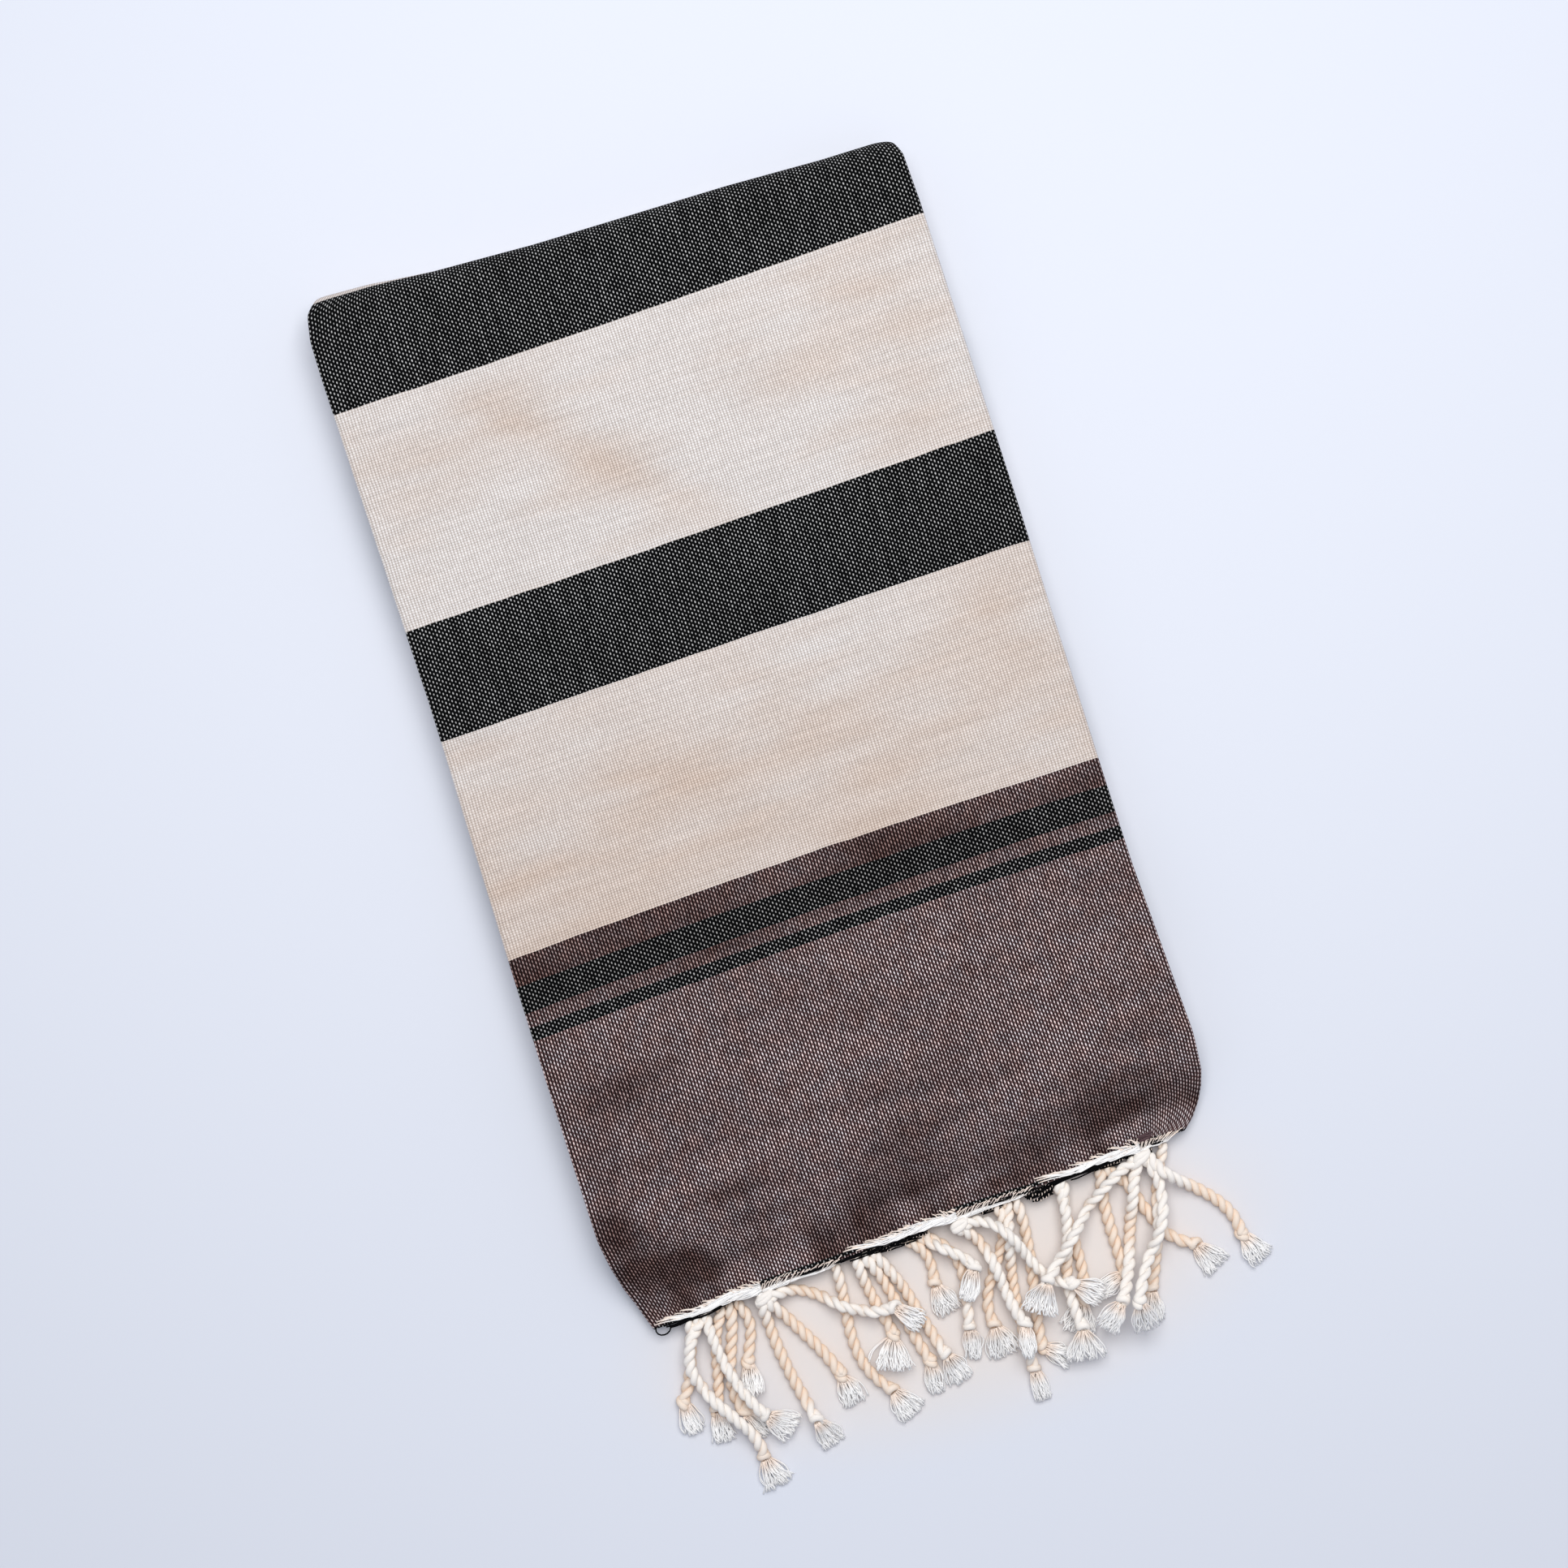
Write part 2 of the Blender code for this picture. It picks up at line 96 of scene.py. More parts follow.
TOP_SIZE = 6
TOP_HEIGHT = -0.2 * MM
bpy.ops.mesh.primitive_plane_add(size=TOP_SIZE, location=(0, 0, TOP_HEIGHT))
surface = bpy.context.object
surface.name = "white_table_top"

# Matt lacquer mirrors nothing and has only a faint sheen. Warm light bounced off the cords is painted
# into its colour, in an oval around them.
FRINGE_MIDDLE = (4 * MM, -240 * MM, 0.0)
PAINTED_BOUNCE_REACH = (165 * MM, 75 * MM)
TOP_WHITE = hex_colour("#e0e4ee")
TOP_PAINTED_BOUNCE = hex_colour("#e7e1de")
COLOURS = {"output": 2, "data_type": "RGBA"}
EASED = {"interpolation_type": "SMOOTHSTEP"}
matt_white = new_material("matt_white_lacquer")
tree = matt_white.node_tree
position = add_node(tree, "TexCoord", output=3)
aside = add_node(tree, "VectorMath", (position, FRINGE_MIDDLE), operation="SUBTRACT")
per_reach = (1 / PAINTED_BOUNCE_REACH[0], 1 / PAINTED_BOUNCE_REACH[1], 0.0)
aside = add_node(tree, "VectorMath", (aside, per_reach), operation="MULTIPLY")
distance = add_node(tree, "VectorMath", (aside,), output=1, operation="LENGTH")
# Painted bounce light: inside the oval round the fringe the lacquer's colour turns warm.
painted_bounce = add_node(tree, "MapRange", {"Value": distance, "From Min": 1.0, "From Max": 0.35}, **EASED)
top_colour = add_node(tree, "Mix", {0: painted_bounce, 6: TOP_WHITE, 7: TOP_PAINTED_BOUNCE}, **COLOURS)
lacquer = add_node(
    tree, "BsdfPrincipled", {"Base Color": top_colour, "Roughness": 0.8, "Specular IOR Level": 0.2}
)
add_node(tree, "OutputMaterial", {"Surface": lacquer})
surface.data.materials.append(matt_white)

sky = bpy.data.worlds.new("pale_sky")
sky.use_nodes = True
sky.node_tree.nodes["Background"].inputs["Color"].default_value = hex_colour("#e7edfb")
sky.node_tree.nodes["Background"].inputs["Strength"].default_value = 0.43
bpy.context.scene.world = sky

WINDOW_PLACE = (170 * MM, 370 * MM, 1300 * MM)
WINDOW_SIZE = 1.0
bpy.ops.object.light_add(type="AREA", location=WINDOW_PLACE)
window = bpy.context.object
window.name = "window"
window.data.shape = "SQUARE"
window.data.size = WINDOW_SIZE
window.data.energy = 17.0
window.data.color = (1.0, 0.985, 0.96)
window.rotation_euler = (-window.location).to_track_quat("-Z", "Y").to_euler()

# ---------------------------------------------------------------------------------------
# The cloth: one length of hand-loomed cotton in plain weave, white warp under black, cream
# and mauve-brown weft. It is folded in quarters across its width and turned over three
# times along its length, and its fringed end lies on top and droops past the lower fold.
CLOTH = 1.0 * MM
PLY = 1.4 * MM
# Where the first ply of each layer lies. A layer that runs back towards the hem is upside
# down, so its first ply is its highest.
LAYER_BOTTOM = CLOTH / 2 + 3 * PLY
LAYER_TUCKED = CLOTH / 2 + 7 * PLY
LAYER_THIRD = CLOTH / 2 + 8 * PLY
LAYER_TOP = CLOTH / 2 + 12 * PLY
LEFT = -124.4 * MM
RIGHT = 121.7 * MM
FOLD_Y = 206.3 * MM
UNDER_Y = -168 * MM
TUCKED_END = -160 * MM
# The end that droops from the stack: where it starts and stops falling, how far along the
# cloth it reaches at most, and where its edge lies.
DROOP_FROM = -168.5 * MM
DROOP_TO = -206 * MM
DROOP_WAY = 60 * MM
HEM_Y = -213 * MM
HEM_HEIGHT = 3.3 * MM
# Where the hem knots of each ply lie along X, in mm, from the lowest ply to the top one,
# and how far and how wide each knot draws the end of its ply in.
HEM_KNOTS = {1: (-86, -5, 75), 2: (-40, 34, 116), 3: (-103, -27, 58), 4: (-71, 13, 93)}
SCALLOP = 1.6 * MM
SCALLOP_REACH = 30 * MM
SCALLOP_FROM = -185 * MM


def in_metres(rows, unit=MM):
    """A table of two columns, the first in mm and the second in this unit."""
    return [(first * MM, second * unit) for first, second in rows]


# What makes the stack uneven. From place to place along Y: how steeply the rows rise to the
# right, its width as a share of the even one, and how far its middle lies to the right.
SKEW = in_metres([(-209, 0.0425), (-160, 0.022), (-80, 0.018), (110, 0.018), (206, -0.040)], 1)
WIDTH = in_metres(
    [(-210, 1.010), (-172, 1.019), (-100, 1.009), (55, 1.004), (186, 1.007), (206, 1.003)], 1
)
SHIFT = in_metres([(-172, -0.1), (-100, -1.1), (-63, -0.9), (55, 0.5), (206, 0.1)])
# Along Y, how far its corners are pulled in, over a reach along X.
LEFT_CORNERS = in_metres(
    [(-213, 8), (-205, 5.5), (-194, 2.4), (-184, 0.8), (-172, 0), (200, 0), (210, 2), (217, 7)]
)
RIGHT_CORNERS = in_metres(
    [(-216, 16), (-209, 8), (-203, 4), (-197, 1.5), (-190, 0), (208, 0), (217, 2.5)]
)
CORNER_FROM = 85 * MM
CORNER_REACH = 40 * MM
# How much loftier it is than the even stack, along Y and along X.
LOFT_Y = in_metres([(-168, 0.03), (-80, -0.01), (15, 0.0), (110, 0.02), (205, 0.055)], 1)
LOFT_X = in_metres(
    [(-124, 0.02), (-71, 0.005), (-29, -0.01), (13, 0.01), (53, 0.025), (93, 0.03), (122, 0.05)], 1
)
# Along X, how far its folded end bulges out, from a place along Y on.
FOLD_EDGE = in_metres(
    [(-124, 1.0), (-98, 1.0), (-71, -0.9), (-29, -1.4), (53, 0.2), (93, 0.0), (122, 0.8)]
)
BULGE_FROM = 110 * MM
# How far to the right the hidden layers lie, by the way along the cloth from its hem.
STRAY = in_metres([(400, 0.0), (640, 0.3), (840, 0.5), (1220, -0.6), (1600, 0.4)])


def smooth(t):
    t = min(1.0, max(0.0, t))
    return t * t * (3 - 2 * t)


def between(value, table):
    """The table's second column at this value of its first, straight from row to row."""
    if value <= table[0][0]:
        return table[0][1]
    for (x0, y0), (x1, y1) in zip(table, table[1:]):
        if value <= x1:
            return y0 + (y1 - y0) * (value - x0) / (x1 - x0)
    return table[-1][1]


def bulge_at(x, y):
    return between(x, FOLD_EDGE) * smooth((y - BULGE_FROM) / (FOLD_Y - BULGE_FROM))


def settle(x, y, z):
    """Moves a point of the evenly folded towel to where it lies in the uneven one."""
    corner = smooth((abs(x) - CORNER_FROM) / CORNER_REACH)
    pull = between(y, LEFT_CORNERS) if x < 0 else -between(y, RIGHT_CORNERS)
    loft = 1 + between(y, LOFT_Y) + between(x, LOFT_X)
    across = x * between(y, WIDTH) + between(y, SHIFT) + pull * corner
    return Vector((across, y + x * between(y, SKEW) + bulge_at(x, y), z * loft))


def top_run(y):
    """A row of the top layer: y and z of its lowest ply, and the way its plies stack."""
    reach = DROOP_FROM - DROOP_TO
    t = min(1.0, max(0.0, (y - DROOP_TO) / reach))
    drop = LAYER_TOP - HEM_HEIGHT
    stack = Vector((-drop * 6 * t * (1 - t) / reach, 1.0)).normalized()
    return y, HEM_HEIGHT + drop * smooth(t), stack.x, stack.y


def steps(start, end, count):
    return [start + (end - start) * k / count for k in range(count + 1)]


def turn(y, start_layer, end_layer, count):
    """Rows round the half turn that joins two layers, without its two ends."""
    middle = (start_layer + end_layer) / 2
    radius = abs(start_layer - end_layer) / 2
    start = math.pi / 2 if start_layer > end_layer else -math.pi / 2
    turned = []
    for k in range(1, count):
        angle = start - math.pi * k / count
        out, up = math.cos(angle), math.sin(angle)
        turned.append((y + radius * out, middle + radius * up, out, up))
    return turned


def bend(x, height, reach_x, reach_z, start, sweep, count):
    """Columns round the loop that joins two plies, without its two ends."""
    bent = []
    for k in range(1, count):
        angle = math.radians(start + sweep * k / count)
        bent.append((x + reach_x * math.cos(angle), height + reach_z * math.sin(angle)))
    return bent


def drawn_in(x, ply):
    """How far the end of this ply is pulled back at x: most at its knots."""
    nearest = min(abs(x - knot * MM) for knot in HEM_KNOTS[ply])
    return SCALLOP * max(0.0, 1 - nearest / SCALLOP_REACH)


# Uneven surfaces: how many waves to the metre they have along X and along Y, how far those
# lean, and which of many like patterns they are.
Waves = namedtuple("Waves", "x lean y pattern")
BROAD_SWELL = Waves(13, 0, 10, 3.1)
SMALL_SWELL = Waves(38, 0, 24, 7.7)
FLUTES = Waves(105, 18, 24, 1.7)
BROAD_TONE = Waves(17, 9, 24, 5.2)
FINE_TONE = Waves(30, 0, 130, 2.6)
BROAD_RISE = 0.9 * MM
SMALL_RISE = 0.30 * MM
FLUTE_RISE = 1.1 * MM


def wave_at(x, y, waves):
    """How high these waves stand here, from -1 to 1."""
    return noise.noise(Vector((x * waves.x + y * waves.lean, y * waves.y, waves.pattern)))


def swell(x, y):
    """How far the top of the stack stands above or below its even height."""
    return wave_at(x, y, BROAD_SWELL) * BROAD_RISE + wave_at(x, y, SMALL_SWELL) * SMALL_RISE


# Soft hollows in the top layer: where the middle of each lies, half its length and width,
# the heading of its length in degrees, and its depth. Lengths in mm.
Hollow = namedtuple("Hollow", "x y length width heading depth")
HOLLOWS = (
    Hollow(-36, 130, 50, 8, -41, 0.8),
    Hollow(-92, 146, 22, 10, -20, 0.4),
    Hollow(84, 160, 26, 8, -18, 0.5),
    Hollow(103, 126, 40, 12, -88, 0.3),
    Hollow(-112, 100, 30, 9, 85, 0.3),
    Hollow(-110, 26, 24, 8, -8, 0.7),
    Hollow(-52, -3, 28, 5, -12, 0.4),
    Hollow(14, -6, 30, 5, 12, 0.4),
    Hollow(104, 22, 12, 14, 90, 0.5),
    Hollow(-100, -28, 30, 9, 6, 0.4),
    Hollow(-98, -120, 26, 7, 8, 1.0),
    Hollow(-119, -170, 34, 8, 88, 1.2),
    Hollow(-35, -168, 46, 4, -3, 1.0),
    Hollow(-20, -178, 60, 3.5, -5, 0.4),
    Hollow(76, -175, 34, 3.0, -10, 0.3),
    Hollow(4, -138, 46, 14, -8, -0.6),
    Hollow(106, -184, 9, 3.4, -35, 0.5),
    Hollow(-113, -192, 20, 8, -62, 1.2),
    Hollow(-92, -200, 17, 7, -47, 2.0),
    Hollow(-64, -196, 9, 4, -70, 0.9),
    Hollow(90, -193, 14, 3.4, 20, 1.6),
)
HOLLOW_DEPTH = 0.9 * MM
# How strongly the colour of the hollows, which is painted shade, shows in the cream cloth and in the
# mauve: all over, in a hollow, and with the broad and the fine unevenness of the cloth, which vary its
# tone at random.
Tones = namedtuple("Tones", "base hollow broad fine")
CREAM_TONES = Tones(0.10, 0.55, 0.35, 0.35)
MAUVE_TONES = Tones(-0.46, 0.42, 0.10, 0.25)


def hollow_at(place):
    """How deep the top layer lies in its hollows, here."""
    depth = 0.0
    for row in HOLLOWS:
        east = place.x / MM - row.x
        north = place.y / MM - row.y
        heading = math.radians(row.heading)
        along = (east * math.cos(heading) + north * math.sin(heading)) / row.length
        beside = (north * math.cos(heading) - east * math.sin(heading)) / row.width
        depth += row.depth * math.exp(-(along**2) - beside**2)
    return depth


def hemward(place, start, reach):
    """Grows from 0 to 1 towards the hem, from a start along Y and over a reach, in mm."""
    return smooth((start * MM - place.y) / (reach * MM))


def flutes_at(place):
    """Small upright folds near the hem, where its knots gather the cloth."""
    return hemward(place, -182, 20) * wave_at(place.x, place.y, FLUTES) * FLUTE_RISE


def shade_and_tone_at(place, hollow, flutes):
    """How much of the colour of its hollows the cloth shows here, from 0 to 1: painted shade, with tone
    that varies at random.
    """
    in_mauve = hemward(place, -70, 20)
    shares = Tones(*[a + (b - a) * in_mauve for a, b in zip(CREAM_TONES, MAUVE_TONES)])
    shade_and_tone = shares.base + shares.hollow * hollow
    shade_and_tone += shares.broad * wave_at(place.x, place.y, BROAD_TONE)
    shade_and_tone += (shares.fine + 0.5 * hemward(place, -140, 30)) * wave_at(place.x, place.y, FINE_TONE)
    # Painted shade: darker where the cloth lies lower towards the hem, darkest at its very edge, and
    # lighter on its flutes, which stand up.
    shade_and_tone += 0.7 * hemward(place, 90, 180) + 0.12 * hemward(place, -186, 16) - 0.9 * flutes / MM
    return min(1.0, max(0.0, shade_and_tone))


# Rows along the cloth, from its hem through the top layer to the one tucked in the middle.
rows = [top_run(y) for y in steps(HEM_Y, UNDER_Y, 24)]
rows += [(y, LAYER_TOP, 0, 1) for y in steps(UNDER_Y, FOLD_Y, 128)[1:]]
TOP_ROWS = len(rows)
rows += turn(FOLD_Y, LAYER_TOP, LAYER_BOTTOM, 20)
rows += [(y, LAYER_BOTTOM, 0, -1) for y in steps(FOLD_Y, UNDER_Y, 12)]
rows += turn(UNDER_Y, LAYER_BOTTOM, LAYER_THIRD, 14)
rows += [(y, LAYER_THIRD, 0, 1) for y in steps(UNDER_Y, FOLD_Y, 12)]
rows += turn(FOLD_Y, LAYER_THIRD, LAYER_TUCKED, 8)
rows += [(y, LAYER_TUCKED, 0, -1) for y in steps(FOLD_Y, TUCKED_END, 12)]

# Columns across it, from the selvedge under the stack to the one inside it. The double
# fold at the right is blunter than the single one at the left.
BLUNT_RIGHT = 7 * MM
BLUNT_LEFT = 2.6 * MM
BLUNT_INSIDE = 3 * MM
columns = [(x, 0.0) for x in steps(LEFT, RIGHT - BLUNT_RIGHT, 12)]
columns += bend(RIGHT - BLUNT_RIGHT, 1.5 * PLY, BLUNT_RIGHT + 1.5 * PLY, 1.5 * PLY, -90, 180, 18)
columns += [(x, 3 * PLY) for x in steps(RIGHT - BLUNT_RIGHT, LEFT + BLUNT_LEFT, 84)]
columns += bend(LEFT + BLUNT_LEFT, 2.5 * PLY, BLUNT_LEFT + 0.5 * PLY, 0.5 * PLY, 90, 180, 10)
columns += [(x, 2 * PLY) for x in steps(LEFT + BLUNT_LEFT, RIGHT - BLUNT_INSIDE, 12)]
columns += bend(RIGHT - BLUNT_INSIDE, 1.5 * PLY, 0.5 * PLY, 0.5 * PLY, 90, -180, 8)
columns += [(x, PLY) for x in steps(RIGHT - BLUNT_INSIDE, LEFT, 12)]


def ways_along(path):
    """The way along a path to each of its points."""
    ways = [0.0]
    for p, q in zip(path, path[1:]):
        ways.append(ways[-1] + math.dist(p, q))
    return ways


across_way = ways_along(columns)
along_way = ways_along([(y + sy * 3 * PLY, z + sz * 3 * PLY) for y, z, sy, sz in rows])
TOP_WAY = along_way[TOP_ROWS - 1]

bpy.ops.mesh.primitive_grid_add(x_subdivisions=len(columns) - 1, y_subdivisions=len(rows) - 1, size=1)
cloth = bpy.context.object
cloth.name = "woven_cloth"
mesh = cloth.data
cells = []
for vertex in mesh.vertices:
    i = round((vertex.co.x + 0.5) * (len(columns) - 1))
    j = round((vertex.co.y + 0.5) * (len(rows) - 1))
    cells.append((i, j))

# The picks keep their slope up to the fold, and are bowed in the middle, along Y by so much.
PICK_SLOPE = 0.018
BOW = in_metres([(-54, 1.6), (37, 0.4), (85, -0.3), (176, -0.7)])
for loop in mesh.loops:
    i, j = cells[loop.vertex_index]
    x, y = columns[i][0], rows[j][0]
    oblique = x * min(0.0, between(y, SKEW) - PICK_SLOPE) + bulge_at(x, y)
    bowed = between(y, BOW) * (1 - (x / RIGHT) ** 2)
    mesh.uv_layers[0].data[loop.index].uv = (across_way[i], along_way[j] + oblique - bowed)

# Each point of the cloth gets a share of painted shade, with some random tone: more in its hollows and
# where it lies lower towards the hem, less on its flutes. The hidden layers get an even share.
HIDDEN_SHADE_AND_TONE = 0.3
painted_shade_and_tone = mesh.attributes.new("painted_shade_and_tone", "FLOAT", "POINT")
for vertex, (i, j) in zip(mesh.vertices, cells):
    x, height = columns[i]
    y, z, stack_y, stack_z = rows[j]
    if y < DROOP_FROM and along_way[j] < DROOP_WAY:
        ply = min(4, max(1, round(height / PLY) + 1))
        scalloped = smooth((SCALLOP_FROM - y) / (SCALLOP_FROM - HEM_Y))
        y, z, stack_y, stack_z = top_run(y + scalloped * drawn_in(x, ply))
    x += between(along_way[j], STRAY)
    y += stack_y * height
    z += stack_z * height
    raised = smooth(z / STACK_TOP)
    place = settle(x, y, z + swell(x, y) * raised)
    shade_and_tone = HIDDEN_SHADE_AND_TONE
    if along_way[j] < TOP_WAY:
        hollow = hollow_at(place)
        flutes = flutes_at(place)
        place.z += raised * (flutes - hollow * HOLLOW_DEPTH)
        shade_and_tone = shade_and_tone_at(place, hollow, flutes)
    painted_shade_and_tone.data[vertex.index].value = shade_and_tone
    vertex.co = place
solid = cloth.modifiers.new("thickness", "SOLIDIFY")
solid.thickness = CLOTH
solid.offset = 0
bpy.ops.object.modifier_apply(modifier=solid.name)
bpy.ops.object.shade_smooth_by_angle(angle=math.radians(50))

# Hand-loomed cotton: each warp thread shows as a pale dash where it crosses over the weft.
# The pitch of the threads is the real one, 0.8 warp threads and 1.04 picks to the mm.
WARP_PITCH = 1.25 * MM
PICK_PITCH = 0.965 * MM
THREAD_SHAKE = 0.8 * MM
SHAKE_SIZE = 11.1 * MM
woven_cotton = new_material("hand_loomed_cotton")
tree = woven_cotton.node_tree
uv = add_node(tree, "UVMap", uv_map=mesh.uv_layers[0].name)
drift = add_node(tree, "TexNoise", {"Vector": uv, "Scale": 1 / SHAKE_SIZE, "Detail": 2.0}, output=1)
shaken = add_node(tree, "VectorMath", (drift, (0.5, 0.5, 0.5)), operation="SUBTRACT")
shaken = add_node(tree, "VectorMath", {0: shaken, "Scale": THREAD_SHAKE}, operation="SCALE")
thread = add_node(tree, "VectorMath", (uv, shaken), operation="ADD")
u = add_node(tree, "SeparateXYZ", (thread,), output=0)
v = add_node(tree, "SeparateXYZ", (thread,), output=1)

# Which end and which pick a point belongs to, and how far it lies from their crossing.
end = add_node(tree, "Math", (u, WARP_PITCH), operation="DIVIDE")
end_number = add_node(tree, "Math", (end,), operation="FLOOR")
parity = add_node(tree, "Math", (end_number, 2.0), operation="MODULO")
pair = add_node(tree, "Math", (v, 2 * PICK_PITCH), operation="DIVIDE")
pair = add_node(tree, "Math", (parity, 0.5, pair), operation="MULTIPLY_ADD")
pair_number = add_node(tree, "Math", (pair,), operation="FLOOR")
across = add_node(tree, "Math", (end,), operation="FRACT")
across = add_node(tree, "Math", (across, 0.5), operation="SUBTRACT")
along = add_node(tree, "Math", (pair,), operation="FRACT")
along = add_node(tree, "Math", (along, 0.5), operation="SUBTRACT")
crossing = add_node(tree, "CombineXYZ", (end_number, pair_number))
crossing_chance = add_node(tree, "TexWhiteNoise", {"Vector": crossing}, noise_dimensions="2D")

# Hand-spun yarn is thicker and thinner along its length, each thread in its own way.
THICK_TO_THICK = 45.5 * MM
pick = add_node(tree, "Math", (v, PICK_PITCH), operation="DIVIDE")
pick_number = add_node(tree, "Math", (pick,), operation="FLOOR")
uneven = []
for number, way in ((end_number, v), (pick_number, u)):
    lane = add_node(tree, "Math", (number, 0.63), operation="MULTIPLY")
    length = add_node(tree, "Math", (way, THICK_TO_THICK), operation="DIVIDE")
    on_yarn = add_node(tree, "CombineXYZ", (length, lane))
    wave = add_node(tree, "TexNoise", {"Vector": on_yarn, "Scale": 1.0, "Detail": 1.0})
    uneven.append(add_node(tree, "MapRange", {"Value": wave, "From Min": 0.25, "From Max": 0.75}))
end_chance, pick_chance = uneven

# The stripes, from way along the cloth. Past its middle they come again in reverse. The
# narrow black ones are given by where they lie along Y, the first along the very hem.
MIDDLE = 800 * MM
BROAD_FROM_Y = -54.1 * MM
BROAD_PITCH = 138.6 * MM
CREAM_WIDTH = 92.0 * MM
HEM_STRIPE = 0.9 * MM
NARROW_BLACKS = (
    (HEM_Y, HEM_Y + HEM_STRIPE),
    (-88.1 * MM, -82.6 * MM),
    (-76.7 * MM, -65.4 * MM),
)
top_y = [(top_row[0], way) for top_row, way in zip(rows[:TOP_ROWS], along_way)]
BROAD_FROM = between(BROAD_FROM_Y, top_y)
stripe_way = add_node(tree, "Math", (v, MIDDLE), operation="PINGPONG")
broad = add_node(tree, "Math", (stripe_way, BROAD_FROM), operation="GREATER_THAN")
inside = add_node(tree, "Math", (stripe_way, BROAD_FROM), operation="SUBTRACT")
inside = add_node(tree, "Math", (inside, BROAD_PITCH), operation="MODULO")
past_cream = add_node(tree, "Math", (inside, CREAM_WIDTH), operation="GREATER_THAN")
black = add_node(tree, "Math", (broad, past_cream), operation="MULTIPLY")
cream = add_node(tree, "Math", (broad, black), operation="SUBTRACT")
for start_y, end_y in NARROW_BLACKS:
    low, high = between(start_y, top_y), between(end_y, top_y)
    middle, half = (low + high) / 2, (high - low) / 2
    stripe = add_node(tree, "Math", (stripe_way, middle, half), operation="COMPARE")
    black = add_node(tree, "Math", (black, stripe), operation="MAXIMUM")

# The pale dashes are ovals, whose half widths and half lengths are fractions of the pitch
# of the ends and of twice that of the picks. Each is a little larger or smaller by chance.
dash_wide = add_node(tree, "MapRange", {"Value": black, "To Min": 0.22, "To Max": 0.2})
dash_wide = add_node(tree, "Math", (cream, 0.13, dash_wide), operation="MULTIPLY_ADD")
dash_long = add_node(tree, "MapRange", {"Value": black, "To Min": 0.31, "To Max": 0.235})
dash_long = add_node(tree, "Math", (cream, -0.07, dash_long), operation="MULTIPLY_ADD")
size = add_node(tree, "MapRange", {"Value": crossing_chance, "To Min": 0.8, "To Max": 1.2})
end_size = add_node(tree, "MapRange", {"Value": end_chance, "To Min": -0.15, "To Max": 0.15})
size = add_node(tree, "Math", (end_size, black, size), operation="MULTIPLY_ADD")
leaning = add_node(tree, "Math", (along, -0.08, across), operation="MULTIPLY_ADD")
# Between the dashes the weft bulges, with a dark line of shade at its ends.
past = add_node(tree, "Math", (along,), operation="ABSOLUTE")
past = add_node(tree, "Math", (0.5, past), operation="SUBTRACT")
ovals = []
for reaches in (((leaning, dash_wide), (along, dash_long)), ((across, 0.50), (past, 0.26))):
    squares = []
    for reach in reaches:
        part = add_node(tree, "Math", reach, operation="DIVIDE")
        squares.append(add_node(tree, "Math", (part, 2.0), operation="POWER"))
    ovals.append(add_node(tree, "Math", squares, operation="ADD"))
dash, bulge = ovals
dash = add_node(tree, "Math", (dash, size), operation="DIVIDE")
warp = add_node(tree, "MapRange", {"Value": dash, "From Min": 1.8, "From Max": 0.1}, **EASED)
weft = add_node(tree, "MapRange", {"Value": bulge, "From Min": 1.5, "From Max": 0.15}, **EASED)

# Colours of each stripe: the shade between its threads, its weft, its warp, and the painted shade of its
# hollows.
Stripe = namedtuple("Stripe", "shade weft warp hollow")
MAUVE_STRIPE = Stripe("#140b0b", "#644b4b", "#f6e8e5", "#a0918d")
BLACK_STRIPE = Stripe("#020203", "#08090a", "#b0b0af", "#e0dfdd")
CREAM_STRIPE = Stripe("#b0a69f", "#d9d3d0", "#e5e2e0", "#f3e4d8")
layers = []
for in_mauve, in_black, in_cream in zip(MAUVE_STRIPE, BLACK_STRIPE, CREAM_STRIPE):
    dark = add_node(tree, "Mix", {0: black, 6: hex_colour(in_mauve), 7: hex_colour(in_black)}, **COLOURS)
    layers.append(add_node(tree, "Mix", {0: cream, 6: dark, 7: hex_colour(in_cream)}, **COLOURS))
striped = Stripe(*layers)
TINTED = {"blend_type": "MULTIPLY", **COLOURS}
colour = add_node(tree, "Mix", {0: weft, 6: striped.shade, 7: striped.weft}, **COLOURS)
colour = add_node(tree, "Mix", {0: warp, 6: colour, 7: striped.warp}, **COLOURS)
# Painted shade: by the share stored on each point, the colour is darkened towards the stripe's hollow
# colour.
shade_and_tone_share = add_node(tree, "Attribute", output=2, attribute_name="painted_shade_and_tone")
colour = add_node(tree, "Mix", {0: shade_and_tone_share, 6: colour, 7: striped.hollow}, **TINTED)

# Ends differ most in the black, picks in the cream, and single crossings in the mauve.
streak = add_node(tree, "Mix", {0: cream, 2: end_chance, 3: pick_chance})
crossing_share = add_node(tree, "MapRange", {"Value": cream, "To Min": 0.26, "To Max": 0.03})
shade = add_node(tree, "Math", (crossing_chance, crossing_share), operation="MULTIPLY")
streak_share = add_node(tree, "MapRange", {"Value": black, "To Min": 0.14, "To Max": 0.4})
streak = add_node(tree, "Math", (streak, streak_share), operation="MULTIPLY")
shade = add_node(tree, "Math", (shade, streak), operation="ADD")
shade = add_node(tree, "Math", (shade, crossing_share), operation="SUBTRACT")
shade = add_node(tree, "Math", (shade, 1.03), operation="ADD")
colour = add_node(tree, "Mix", {0: 1.0, 6: colour, 7: shade}, **TINTED)

